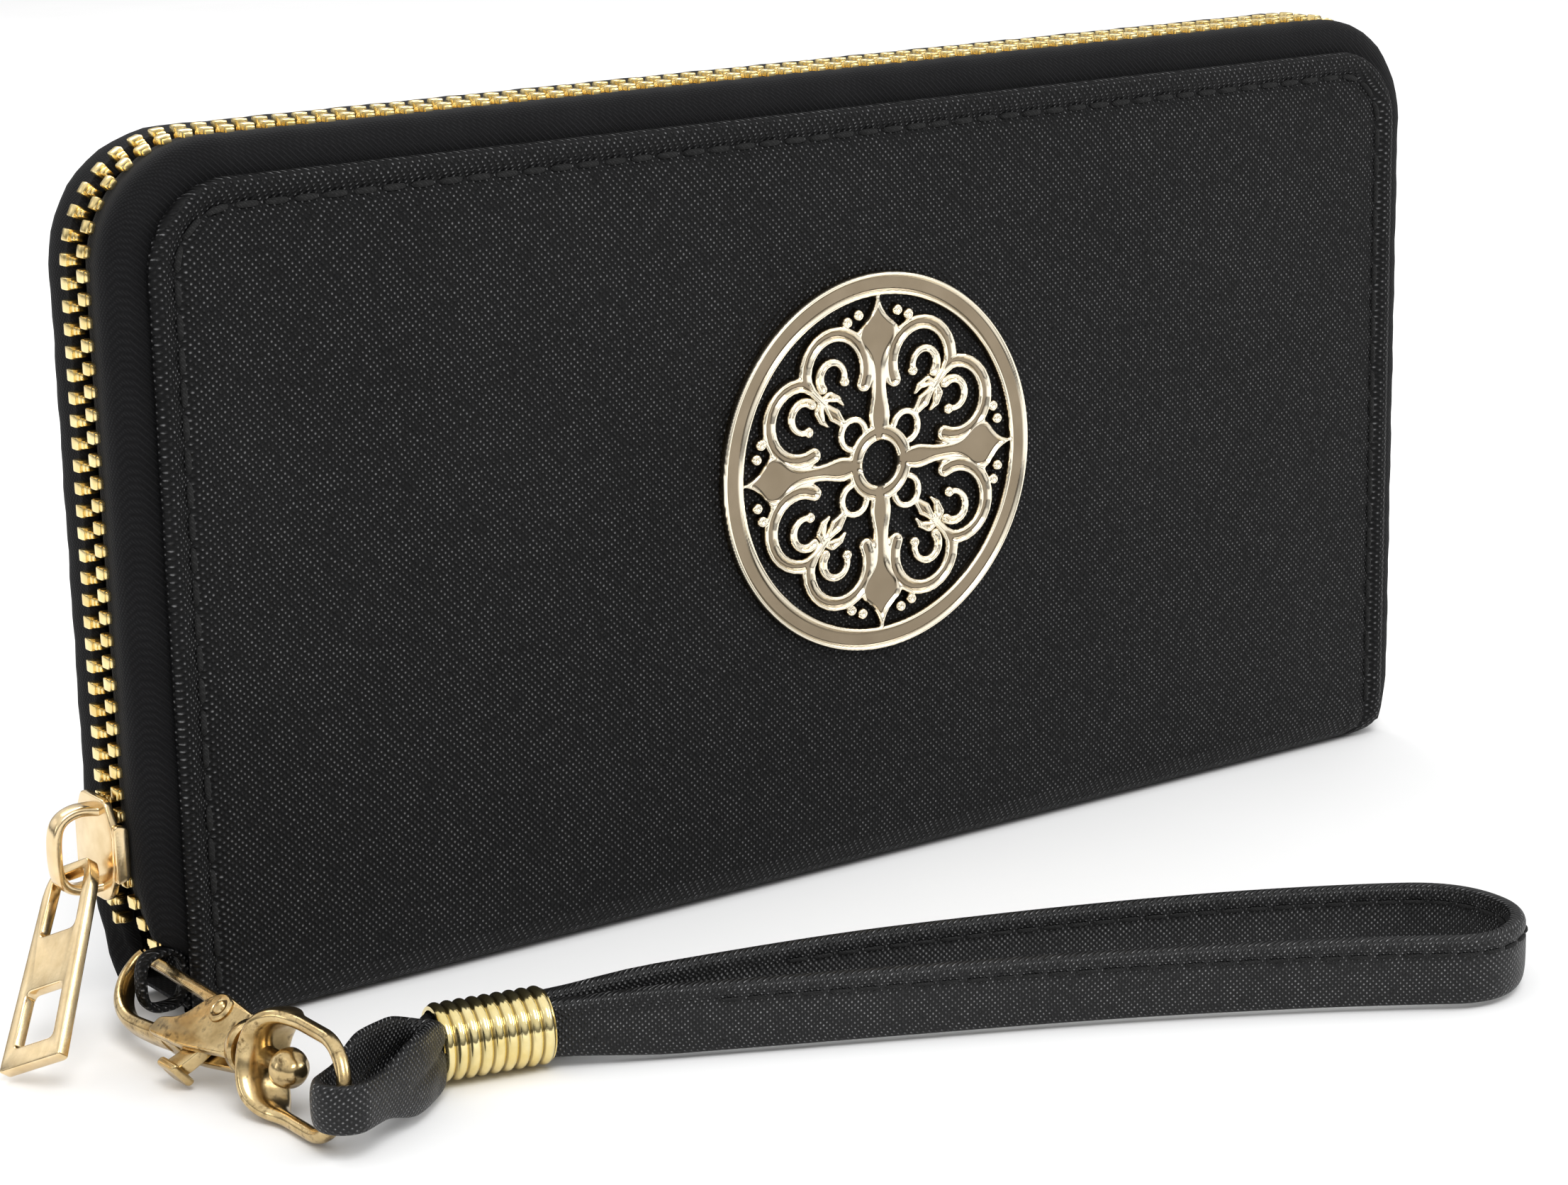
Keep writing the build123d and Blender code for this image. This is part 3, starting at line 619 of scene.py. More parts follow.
def tape_stops(step=1.5):
    """Distances along the chain at which a tape has a section, from the left foot over the top to the right foot."""
    corner, over, down = 12, int(RUN / step), int((RISE - TAPE_FOOT) / step)
    far = RISE + ARC + RUN
    return np.concatenate([
        np.linspace(TAPE_FOOT, SPLIT, math.ceil((SPLIT - TAPE_FOOT) / step), endpoint=False),
        np.linspace(SPLIT, RISE, math.ceil((RISE - SPLIT) / step), endpoint=False),
        np.linspace(RISE, RISE + ARC, corner + 1),
        np.linspace(RISE + ARC, far, over + 1)[1:-1],
        np.linspace(far, far + ARC, corner + 1),
        np.linspace(far + ARC, far + ARC + RISE - TAPE_FOOT, down + 1)[1:],
    ])


FLANGE = 1.2
# (distance outside the wallet's edge, distance from the middle plane) round the tape's section
TAPE_SECTION = [
    (2.2, 1.75), (3.3, 1.8), (3.75, 2.2), (3.7, 2.75), (3.72, 3.4), (4.0, 4.6), (4.05, 5.8), (3.75, 6.9), (3.0, 7.75),
    (1.8, 8.2), (0.4, 8.3), (-FLANGE, 8.25), (-FLANGE, 7.95), (0.2, 7.85), (1.6, 7.7), (2.6, 7.1), (3.2, 6.2),
    (3.4, 5.0), (3.1, 3.6), (3.0, 2.9), (2.2, 2.4),
]


def parting(distance):
    """How far the rows have parted below the slider: (inward, away from the middle)."""
    t = clamp((22.0 - distance) / 14.0)
    corner = max((9.0 - distance) / 7.0, 0.0)
    return 3.4 * t * t + 3.4 * corner ** 2.2, 3.1 * t ** 1.4


def tape(name, side, start, stop, body, replaces):
    rings = []
    for far in tape_stops():
        if not start <= far <= stop:
            continue
        here, outward, _ = chain_frame(far)
        edge = here - CHAIN_OUT * outward
        inward, away = parting(far)
        tuck = 3.2 * ease((11.5 - far) / 2.6) if side < 0 else 0.0
        if outward[0] > 0.9:
            inward, away = 3.6 * max((10.0 - edge[2]) / 8.4, 0.0) ** 2, 0.0
        ring = []
        for out, off in TAPE_SECTION:
            share = max(0.0, 1 - (off - 1.7) / 6.0)
            ripple = 0.1 * math.sin(far * 0.9) * math.sin(far * 0.37 + side) * (1 - share)
            o = max(out - inward * (0.4 + 0.6 * share) + ripple - tuck, min(out, -FLANGE))
            ring.append(edge + o * outward + np.array((0, side * min(off + away * share, 8.3), 0)))
        rings.append(ring)
    build(name, *loft(rings), TAPE, body, replaces, 60)


LINE_END = tape_stops()[-1]
tape("back_tape", 1, 0, LINE_END, "root", ("back_zip_tape",))
tape("front_tape_end", -1, 0, SPLIT, "root", ("zip_end_tape",))
tape("front_tape", -1, SPLIT, LINE_END, "front_half", ("front_zip_tape",))

# Teeth

PITCH = 2.54
FIRST_TOOTH, SPLIT_TOOTH, END_TOOTH = 4, 13, 144
# One tooth, as (out, away from the middle, along): a head that grips the tape, and a lower nose towards the middle
TOOTH = joined([
    rounded_box((-1.1, 1.25, -0.72), (1.2, 2.75, 0.72), 0.22),
    rounded_box((-1.0, 2.4, -0.55), (0.9, 3.1, 0.55), 0.2),
    rounded_box((-0.75, 0.55, -0.5), (0.85, 1.5, 0.5), 0.18),
    rounded_box((-0.6, 0.12, -0.42), (0.65, 0.75, 0.42), 0.2),
])


def teeth(name, side, first, last, body, replaces):
    parts = []
    for number in range(first, last):
        far = (number + (0.5 if side > 0 else 0.0)) * PITCH
        here, out, along = chain_frame(far)
        inward, away = parting(far) if here[0] < 0 else (0.0, 0.0)
        points = [
            here + out * (o - 0.072 * away * (y - 2) - inward) + along * s + np.array((0, side, 0)) * (y + away)
            for o, y, s in TOOTH[0]
        ]
        parts.append((points, TOOTH[1]))
    build(name, *joined(parts), TEETH_GOLD, body, replaces, 35)


teeth("back_teeth", 1, FIRST_TOOTH, END_TOOTH, "root", ("back_zip_teeth",))
teeth("front_teeth_end", -1, FIRST_TOOTH, SPLIT_TOOTH, "root", ("zip_end_teeth",))
teeth("front_teeth", -1, SPLIT_TOOTH, END_TOOTH, "front_half", ("front_zip_teeth",))

low, high = node_box("zip_stop")
stop = [
    rounded_box(low, high, 0.4, 3),
    rounded_box((low[0] + 0.2, -1.0, low[2] + 0.3), (high[0] - 0.2, 1.0, high[2] - 0.3), 0.4, 3),
]
build("bottom_stop", *joined(stop), TEETH_GOLD, "root", ("zip_stop",))

# Slider and pull tab

slider_low, slider_high = node_box("slider_body")
SLIDER_X = slider_low[0]
FOOT, HEAD = slider_low[2], slider_high[2]


def slider():
    shape = rounded([
        (-2.9, HEAD), (2.9, HEAD), (4.6, HEAD - 3.2), (4.5, FOOT + 3.4), (2.6, FOOT), (-2.6, FOOT), (-4.5, FOOT + 3.4),
        (-4.6, HEAD - 3.2),
    ], [0.7, 0.7, 1.4, 1.6, 1.4, 1.4, 1.6, 1.4], 6)
    near, far = SLIDER_X + 0.1, SLIDER_X + 1.9
    cheek = rounded([(near, HEAD - 2.4), (far, HEAD - 2.9), (far, FOOT + 3.0), (near, FOOT + 2.5)], 0.7, 5)
    parts = [plate([shape], (SLIDER_X + middle, 0, 0), Y, Z, 0.5, 0.22) for middle in (0.5, 5.1)]
    for y in (-1, 1):
        low, high = (SLIDER_X + 4.0, y * 4.2 - 0.4, FOOT + 3.5), (SLIDER_X + 5.6, y * 4.2 + 0.4, HEAD - 4)
        parts += [plate([cheek], (0, y * 4.55, 0), X, Z, 0.45, 0.2), rounded_box(low, high, 0.25)]
    build("slider_plates", *joined(parts), SATIN_GOLD, "zip_slider", ("slider_body",), 30)

    low, high = node_box("slider_bridge")
    tip = low[0]
    path = curve_points([
        (SLIDER_X + 0.4, 0, low[2] + 0.6), (SLIDER_X - 2.2, 0, low[2] + 0.45), (tip + 1.3, 0, low[2] + 1.3),
        (tip + 0.55, 0, low[2] + 3.2), (tip + 0.55, 0, high[2] - 3.2), (tip + 1.3, 0, high[2] - 1.3),
        (SLIDER_X - 2.2, 0, high[2] - 0.45), (SLIDER_X + 0.4, 0, high[2] - 0.6),
    ], 7)
    sections = []
    for i in range(len(path)):
        t = abs(i / (len(path) - 1) - 0.5) * 2
        sections.append([(v, u) for u, v in superellipse(1.15 + 0.7 * t ** 6, 0.6, 4.0, 24)])
    build("slider_bridge_loop", *swept(path, sections, Y), SATIN_GOLD, "zip_slider", ("slider_bridge",), 45)


slider()

PULL_PIVOT = np.array((-(HALF_WIDTH + 8.8), 0, FOOT + 3.7))
PULL_ACROSS = np.array((0.3016, -0.8647, 0.4022))
PULL_DOWN = np.array((-0.5074, -0.5026, -0.7000))
PULL_LENGTH = 23.9

pull_outline = rounded([
    (-2.9, -0.75), (2.9, -0.75), (4.15, 1.6), (5.15, PULL_LENGTH - 0.2), (4.7, PULL_LENGTH), (-4.7, PULL_LENGTH),
    (-5.15, PULL_LENGTH - 0.2), (-4.15, 1.6),
], [0.7, 0.7, 1.6, 0.5, 0.3, 0.3, 0.5, 1.6], 6)
upper_window = rounded([(-2.75, 0.65), (2.75, 0.65), (3.05, 7.9), (-3.05, 7.9)], 0.9, 6)
lower_window = rounded([(-3.15, 14.6), (3.15, 14.6), (3.35, 21.3), (-3.35, 21.3)], 0.8, 6)
pull = plate([pull_outline, upper_window[::-1], lower_window[::-1]], PULL_PIVOT, PULL_ACROSS, PULL_DOWN, 0.75, 0.24)
build("pull_tab_plate", *pull, SATIN_GOLD, "pull_tab", ("pull_tab",), 30)

# Medallion


def medallion_field(u, v):
    """Distance inside the medallion's design, above 0 where there is metal: a ring, four arms, lobes and scrolls."""
    radius = np.hypot(u, v)
    rim = 1.55
    ring = rim - np.abs(radius - (MEDAL_RADIUS - rim))
    hub = 1.15 - np.abs(radius - 3.85)
    a, b = np.abs(u), np.abs(v)
    near, far = np.maximum(a, b), np.minimum(a, b)
    waist = 1.15 + 2.1 * np.exp(-((near - 16.2) / 2.4) ** 2) + 0.5 * np.exp(-((near - 6.0) / 2.0) ** 2)
    waist = np.where(near > 17.2, waist * np.clip((21.8 - near) / 4.6, 0.24, 1.0), waist)
    arm = np.where((near > 3.0) & (near < 22.0), waist - far, -5.0)

    def stroke(points, wide):
        best = np.full(u.shape, -9.0)
        for (x1, y1, w1), (x2, y2, w2) in zip(points, points[1:]):
            dx, dy = x2 - x1, y2 - y1
            t = np.clip(((a - x1) * dx + (b - y1) * dy) / (dx * dx + dy * dy + 1e-9), 0, 1)
            d = np.hypot(a - (x1 + t * dx), b - (y1 + t * dy))
            best = np.maximum(best, wide * (w1 + t * (w2 - w1)) - d)
        return best

    def arc(cx, cy, r, start, end, w1=1.0, w2=1.0, steps=16):
        made = []
        for f in (i / steps for i in range(steps + 1)):
            t = math.radians(start + (end - start) * f)
            made.append((cx + r * math.cos(t), cy + r * math.sin(t), w1 + (w2 - w1) * f))
        return made

    field = np.maximum(ring, hub)
    lobes = arc(6.6, 12.2, 4.7, 205, -12, 1.1, 1.0)
    joiner = arc(12.2, 6.6, 4.7, 102, -115, 1.0, 1.1)
    strokes = [
        (arc(4.1, 4.1, 1.9, 165, -75), 0.55),
        ([(11.3, 11.3, 1.7), (10.2, 10.2, 1.0), (8.4, 8.4, 0.8)], 0.7),
        ([(8.4, 8.4, 0.7), (6.9, 6.9, 1.6), (6.0, 6.0, 1.1), (5.4, 5.4, 0.3)], 0.66),
    ]
    curl = arc(7.2, 11.6, 1.9, -40, 205, 1.15, 0.75)
    leaf = [(8.9, 8.9, 0.7), (9.3, 7.6, 1.25), (8.9, 6.4, 0.9), (8.0, 5.6, 0.4)]
    for shape in (curl, leaf):
        strokes += [(shape, 0.66), ([(y, x, w) for x, y, w in shape], 0.66)]
    for x, y in ((5.3, 10.9), (4.7, 18.1), (3.0, 18.8)):
        strokes += [([(p, q, 1), (p + 0.05, q + 0.05, 1)], 0.78) for p, q in ((x, y), (y, x))]
    frame_lines = np.maximum(stroke(lobes, 1.02), stroke(joiner, 1.02))
    blend = 0.9
    mix = np.clip(0.5 + 0.5 * (arm - frame_lines) / blend, 0, 1)
    field = np.maximum(field, frame_lines * (1 - mix) + arm * mix + blend * mix * (1 - mix) * 0.6)
    for points, wide in strokes:
        field = np.maximum(field, stroke(points, wide))
    return field


def medallion():
    """The design as a fine grid, its outline pulled onto the design's own edge, raised along its edges."""
    pitch = 0.15
    bead_wide, bead_high, flat_high = 0.42, 0.48, 0.62
    count = int(2 * (MEDAL_RADIUS + 0.4) / pitch) + 1
    line = (np.arange(count) - (count - 1) / 2) * pitch
    u, v = np.meshgrid(line, line, indexing="ij")
    field = medallion_field(u, v)
    for _ in range(3):
        gu, gv = np.gradient(medallion_field(u, v), pitch)
        here = medallion_field(u, v)
        size = np.maximum(gu ** 2 + gv ** 2, 0.25)
        edge = (field > -0.75 * pitch) & (field < 0.05 * pitch)
        u = np.where(edge, u - np.clip(here * gu / size, -0.1, 0.1), u)
        v = np.where(edge, v - np.clip(here * gv / size, -0.1, 0.1), v)
    keep = field > -0.75 * pitch
    depth = np.clip(medallion_field(u, v), 0, None)
    across = depth / bead_wide
    rise = np.sqrt(np.clip(1 - (1 - np.clip(across, 0, 1)) ** 2, 0, 1))
    bead = np.where(across < 1, rise, 0.5 * (1 + np.cos(np.pi * np.clip(across - 1, 0, 1))))
    height = flat_high * np.clip(depth / 0.2, 0, 1) + bead_high * bead
    index = -np.ones(u.shape, int)
    index[keep] = np.arange(keep.sum())
    y_top = FRONT_FACE - 0.05 - height
    points = np.stack([MEDAL[0] + u[keep], y_top[keep], MEDAL[2] + v[keep]], 1)
    back = points.copy()
    back[:, 1] = FRONT_FACE + 0.35
    i, j = np.nonzero(keep[:-1, :-1] & keep[1:, :-1] & keep[1:, 1:] & keep[:-1, 1:])
    quads = np.stack([index[i, j], index[i + 1, j], index[i + 1, j + 1], index[i, j + 1]], 1)
    total = len(points)
    edges = dict.fromkeys((p, q) for quad in quads for p, q in zip(quad, np.roll(quad, -1)))
    walls = [(q, p, p + total, q + total) for p, q in edges if (q, p) not in edges]
    faces = [tuple(q) for q in quads] + [tuple(q[::-1] + total) for q in quads] + walls
    points = np.concatenate([points, back])
    build("openwork_medallion", points, faces, STAMPED, "front_half", ("medallion",), 75)


medallion()

# Clasp

NECK = np.array((-97.3, -31.0, 6.3))
ROLL = math.radians(50.0)
CLASP_OUT = np.array((-math.cos(ROLL), 0, math.sin(ROLL)))
ALONG = np.array((0.0, 1.0, 0.0))
CLAW_SIDE = np.cross(CLASP_OUT, ALONG)
PIVOT = (6.6, -1.4)


def clasp_point(s, t, n=0.0):
    return NECK + s * ALONG + t * CLAW_SIDE + n * CLASP_OUT


def clasp():
    def cut(outline, half, bevel, n=0.0, *holes):
        return plate([outline, *holes], clasp_point(0, 0, n), ALONG, CLAW_SIDE, half, bevel)

    shank = rounded([
        (1.2, -2.7), (8.6, -3.3), (10.4, -1.6), (12.2, 1.4), (15.6, 2.6), (15.6, 4.7), (9.0, 4.3), (1.2, 2.7),
    ], [0.5, 1.6, 1.0, 1.4, 0.8, 0.8, 1.5, 0.5], 6)
    back_rib = rounded([(11.2, 2.0), (15.4, 2.6), (15.4, 4.8), (11.2, 4.4)], 0.5, 4)
    front_rib = rounded([(1.2, -2.6), (2.9, -2.7), (2.9, 2.7), (1.2, 2.6)], 0.4, 4)
    parts = [cut(shank, 0.55, 0.25, n) for n in (1.65, -1.65)] + [cut(rib, 1.5, 0.3) for rib in (back_rib, front_rib)]
    middle = curve_points([
        (13.8, 3.75), (18.0, 4.25), (22.5, 4.35), (26.2, 3.1), (28.6, 0.9), (29.5, -1.6), (29.3, -3.3),
    ], 8)
    path = [clasp_point(s, t) for s, t in middle]
    sections = []
    for i in range(len(path)):
        f = i / (len(path) - 1)
        tip = 0.7 if f > 0.96 else 1.0
        sections.append(superellipse((1.05 - 0.5 * f ** 1.3) * tip, (1.75 - 0.75 * f ** 1.2) * tip, 2.6, 22))
    parts.append(swept(path, sections, CLASP_OUT))
    parts.append(lathe([(0.0, 2.4), (0.05, 2.9), (0.4, 3.15), (1.1, 3.15), (1.6, 2.9), (1.7, 2.3)], NECK, ALONG))
    build("clasp_body", *joined(parts), BRASS, "hook", ("hook_body",), 35)

    rivet = lathe([
        (-2.75, 0.5), (-2.7, 1.3), (-2.35, 1.55), (-2.2, 1.5), (-2.2, 0.8), (2.2, 0.8), (2.2, 1.5), (2.35, 1.6),
        (2.6, 1.45), (2.62, 1.15), (2.42, 1.0), (2.42, 0.85), (2.8, 0.7), (2.9, 0.3),
    ], clasp_point(*PIVOT), CLASP_OUT)
    build("clasp_rivet", *rivet, BRASS, "hook", ("gate_rivet",), 35)

    gate = rounded([
        (5.2, -0.6), (5.8, -2.7), (8.4, -3.0), (27.6, -3.35), (28.2, -2.9), (28.0, -2.1), (13.0, -1.75), (9.4, -0.4),
        (9.7, 4.2), (11.0, 6.4), (10.4, 7.2), (8.3, 6.9), (7.1, 4.2), (6.2, 0.4),
    ], [0.9, 1.2, 1.5, 0.5, 0.4, 0.5, 2.0, 1.2, 1.6, 0.5, 0.6, 0.7, 1.6, 0.8], 6)
    hole = [(PIVOT[0] + 0.84 * math.cos(a), PIVOT[1] - 0.84 * math.sin(a)) for a in turns(28)]
    thumb = rounded([(7.2, 6.0), (10.9, 6.0), (11.0, 7.1), (7.4, 7.0)], 0.5, 4)
    build(
        "clasp_gate", *joined([cut(gate, 0.85, 0.28, 0.0, hole), cut(thumb, 1.7, 0.4)]), BRASS, "hook_gate",
        ("hook_gate",), 35,
    )

    coil = [
        clasp_point(3.2 + 1.8 * i / 60, 1.6 + 0.38 * math.cos(i * 0.75), 0.38 * math.sin(i * 0.75)) for i in range(61)
    ]
    spring = swept(coil, superellipse(0.13, 0.13, 2.0, 8), CLASP_OUT + 0.01)
    build("clasp_spring", *spring, STEEL, "hook", ("gate_spring",))

    stem = lathe([
        (0.2, 1.15), (-6.4, 1.15), (-6.5, 1.6), (-6.65, 2.05), (-7.1, 2.25), (-7.7, 2.2), (-8.4, 1.95), (-8.8, 1.5),
        (-9.2, 1.35), (-9.6, 1.0), (-9.8, 0.4),
    ], NECK, ALONG)
    build("clasp_stem", *stem, BRASS, "hook", ("swivel_stem",))


clasp()

RING_TILT = math.radians(12.0)
RING_NORMAL = np.array((-math.cos(RING_TILT), 0, math.sin(RING_TILT)))
RING_UP = np.cross(ALONG, RING_NORMAL)


def swivel_ring():
    """The signet-shaped eye: a broad domed yoke at the neck that runs out into a round wire."""
    yoke, straight, yoke_bend, wire_bend = 6.4, 13.5, 4.75, 5.3
    half_turn = [math.pi * (i + 0.5) / 28 - math.pi / 2 for i in range(28)]
    side = [straight - (straight - yoke) * (i + 1) / 8 for i in range(8)]
    line = [(straight + wire_bend * math.cos(a), wire_bend * math.sin(a)) for a in half_turn]
    line += [(s, wire_bend) for s in side]
    line += [(yoke - yoke_bend * math.cos(a), -wire_bend * math.sin(a)) for a in half_turn]
    line += [(yoke + straight - s - (straight - yoke) / 8, -wire_bend) for s in side]
    sections = []
    for s, _ in line:
        f = ease((9.0 - s) / 6.6)
        sections.append(superellipse(0.82 + 0.3 * f, 0.82 + 2.35 * f, 2.0 + 0.4 * f, 26))
    points, faces = swept([NECK - s * ALONG + t * RING_UP for s, t in line], sections, RING_NORMAL, looped=True)
    points = np.asarray(points)
    points[:, 2] = np.maximum(points[:, 2], 0.05)
    build("swivel_ring", points, faces, BRASS, "swivel_eye", ("swivel_eye",), 60)


swivel_ring()

# Anchor tab

tab_low, tab_high = node_box("anchor_tab")
tab_middle_y = (tab_low[1] + tab_high[1]) / 2
ring_centre = (-95.85, 7.0)
path = [(ring_centre[0] + x, tab_middle_y, ring_centre[1] + z) for x, z in superellipse(2.68, 3.25, 2.8, 40)]
tab_ring = swept(path, superellipse(0.5, 1.05, 3.0, 16), Y, looped=True)
tab_tail = rounded_box((-93.6, tab_low[1] + 0.1, 3.3), (-87.0, tab_high[1] - 0.1, 4.7), 0.4, 3)
build("anchor_loop", *joined([tab_ring, tab_tail]), SAFFIANO, "root", ("anchor_tab",), 45)

# Ferrule, strap end loop and wrist strap

FERRULE_START = np.array((-79.6, -38.3, 4.7))
FERRULE_END = np.array((-67.0, -41.1, 4.7))
FERRULE_AXIS = unit(FERRULE_END - FERRULE_START)
FERRULE_LENGTH = float(np.linalg.norm(FERRULE_END - FERRULE_START))
RIBS = 9


def ferrule():
    pitch = FERRULE_LENGTH / RIBS
    outside = [(0.0, 3.62), (0.0, 4.05)]
    for rib in range(RIBS):
        for t in ((i + 0.5) / 9 for i in range(9)):
            outside.append(((rib + t) * pitch, 3.82 + 0.57 * math.sin(math.pi * t) ** 0.7))
    outside += [(FERRULE_LENGTH, 4.05), (FERRULE_LENGTH, 3.62), (FERRULE_LENGTH, 3.5), (0.0, 3.5)]
    points, faces = lathe(outside, FERRULE_START, FERRULE_AXIS, 56)
    open_ended = faces[:-2]
    build("ribbed_ferrule", points, open_ended, FERRULE_GOLD, "wrist_strap", ("ferrule",), 60)


ferrule()

FAR_WIRE = np.array((-97.3, -49.8, 6.0))


def strap_loop():
    """The end of the strap: folded round the ring's far wire and back into the ferrule."""
    mouth = FERRULE_START
    inside = mouth + FERRULE_AXIS * 6.0
    side = np.cross(FERRULE_AXIS, Z)
    away = unit(FAR_WIRE - mouth)
    off = np.cross(away, Z)
    run = float(np.linalg.norm(FAR_WIRE - mouth))
    leg = [(3.0, 1.9), (6.0, 2.7), (9.5, 3.15), (13.0, 3.15), (16.0, 2.95), (run - 1.8, 2.75)]
    near = [inside + side * 1.15, mouth + side * 1.2] + [mouth + away * s + off * w for s, w in leg]
    back = [mouth + away * s - off * w for s, w in leg[::-1]] + [mouth - side * 1.2, inside - side * 1.15]
    around = [math.pi / 2 - math.pi * i / 10 for i in range(11)]
    wrap = [FAR_WIRE + 2.65 * (math.cos(a) * away + math.sin(a) * off) for a in around]
    path = curve_points(near + wrap + back, 6)
    sections = []
    for p in path:
        reach = np.dot(p - mouth, away)
        tall = 3.05 + 1.25 * ease(reach / 6.0) - 1.6 * ease((reach - 10.5) / 7.5)
        thick = 1.1 - 0.3 * clamp((reach - 10.5) / 7.5)
        crease = 0.5 * math.sin(math.pi * clamp((reach + 1.0) / 15.0))
        wrinkle = 0.16 * math.sin(reach * 1.1) * math.exp(-((reach - 3.0) / 4.0) ** 2)
        shaped = []
        for sign in (1, -1):
            for i in range(27):
                v = -sign * tall * math.cos(math.pi * (i + 0.5) / 27)
                u = thick * (1 - abs(v / tall) ** 2.6) ** (1 / 2.6)
                u -= crease * math.exp(-((v - 1.1 + 0.12 * reach) / 0.6) ** 2) - wrinkle * math.cos(v)
                shaped.append((sign * max(u, 0.12), v))
        sections.append(shaped)
    fold = build("strap_fold", *swept(path, sections, Z), STRAP_LEATHER, "wrist_strap", ("strap_end_loop",), 50)
    lay_along(fold, path, sections)


strap_loop()

STRAP_ROUTE = [
    (-67.0, -42.6), (-50.0, -51.4), (-30.0, -61.4), (-10.0, -71.6), (8.0, -82.4), (18.0, -89.2),
    (26.3, -95.3), (35.8, -90.1), (35.9, -79.3),
    (26.0, -72.2), (10.0, -63.2), (-12.0, -53.8), (-38.0, -44.8), (-67.0, -39.6),
]
STRAP_Z = 4.7
STRAP_HALF_WIDE = 4.0
STRAP_HALF_THICK = 1.15


def route_line(name, route):
    """Points read from a smooth NURBS spline with the route as its control points, in millimetres."""
    data = bpy.data.curves.new(name, "CURVE")
    data.dimensions = "3D"
    data.resolution_u = 14
    spline = data.splines.new("NURBS")
    spline.points.add(len(route) - 1)
    for point, at in zip(spline.points, route):
        point.co = (*(MM * c for c in at), 1)
    spline.order_u = 3
    spline.use_endpoint_u = True
    return [np.array(v.co) / MM for v in curve_mesh(data).vertices]


def strap():
    line = route_line("strap_route", [(x, y, STRAP_Z) for x, y in STRAP_ROUTE])
    far = distances(line)
    length = far[-1]
    sections, outer, outer_dir, inner, inner_dir = [], [], [], [], []
    for i, here in enumerate(line):
        tall = 3.3 + (STRAP_HALF_WIDE - 3.3) * ease(min(far[i], length - far[i]) / 14.0)
        shaped = []
        for u, v in superellipse(STRAP_HALF_THICK, tall, 3.4, 36):
            groove = math.exp(-((v - (tall - 1.9)) / 0.32) ** 2) * 0.22
            roll = math.exp(-((v - (tall - 0.75)) / 0.7) ** 2) * 0.12
            shaped.append((u - math.copysign(groove, u) + math.copysign(roll, u), v))
        sections.append(shaped)
        across = np.cross(unit(line[min(i + 1, len(line) - 1)] - line[max(i - 1, 0)]), Z)
        up = np.array((0, 0, tall - 1.9))
        for store, direction, sign in ((outer, outer_dir, 1), (inner, inner_dir, -1)):
            store.append(here + up + sign * across * (STRAP_HALF_THICK - 0.1))
            direction.append(sign * across)
    band = build("wrist_band", *swept(line, sections, Z), STRAP_LEATHER, "wrist_strap", ("wrist_strap",), 50)
    lay_along(band, line, sections)
    seams = [
        stitches(path[8:-8], outward[8:-8], pitch=3.1, length=2.4, radius=0.24, sunk=-0.05)
        for path, outward in ((outer, outer_dir), (inner, inner_dir))
    ]
    thread = build("wrist_band_stitching", *joined(seams), STRAP_THREAD, "wrist_strap", sharp=60)


strap()

# Inside


def pocket(name, node, body, dips, finish=CARD_LEATHER):
    """A flat pocket layer with rounded lower corners, a turned top hem and, if asked, shallow dips for the thumb."""
    low, high = node_box(node)
    half_thick = (high[1] - low[1]) / 2
    top = []
    ends = np.linspace(low[0], high[0], max(dips, 1) + 1)
    for start, end in zip(ends, ends[1:]):
        for t in (i / 24 for i in range(24)):
            dip = 2.2 * max(0.0, math.sin(math.pi * clamp((t - 0.32) / 0.36))) ** 2 if dips else 0.0
            top.append((start + (end - start) * t, high[2] - dip))
    top = top[1:]
    c, d = 2.5, 0.75
    foot = [
        (high[0], high[2]), (high[0], low[2] + c), (high[0] - d, low[2] + d), (high[0] - c, low[2]),
        (low[0] + c, low[2]), (low[0] + d, low[2] + d),
    ]
    outline = ([(low[0], low[2] + c)] + top + foot)[::-1]
    middle = (low[1] + high[1]) / 2
    side = math.copysign(1, middle)
    face = middle - side * half_thick
    hem = [(x, face + side * 0.05, z - 0.7) for x, z in top]
    seam, outward = [(x, face, z - 1.6) for x, z in top], [(0, -side, 0)] * len(top)
    parts = [
        plate([outline], (0, middle, 0), X, Z, half_thick, half_thick * 0.45),
        swept(hem, superellipse(0.16, 0.45, 2.4, 10), Z),
        stitches(seam, outward, radius=0.12, sunk=0.0, pitch=2.6, length=2.0),
    ]
    build(name, *joined(parts), finish, body, (node,))


for half, body in (("front", "front_half"), ("back", "root")):
    for tier in range(4):
        pocket(f"{half}_card_row_{tier + 1}", f"{half}_card_slot_{tier + 1}", body, 2)
    pocket(f"{half}_card_backing", f"{half}_card_panel", body, 0)
    pocket(f"coin_{half}_panel", f"coin_pocket_{half}_wall", "coin_pocket", 0, LINING)

low, high = node_box("coin_pocket_edge")
edge = rounded_box(low, high, min(0.25, min(high - low) * 0.4), 3)
build("coin_seam", *edge, LINING, "coin_pocket", ("coin_pocket_edge",))


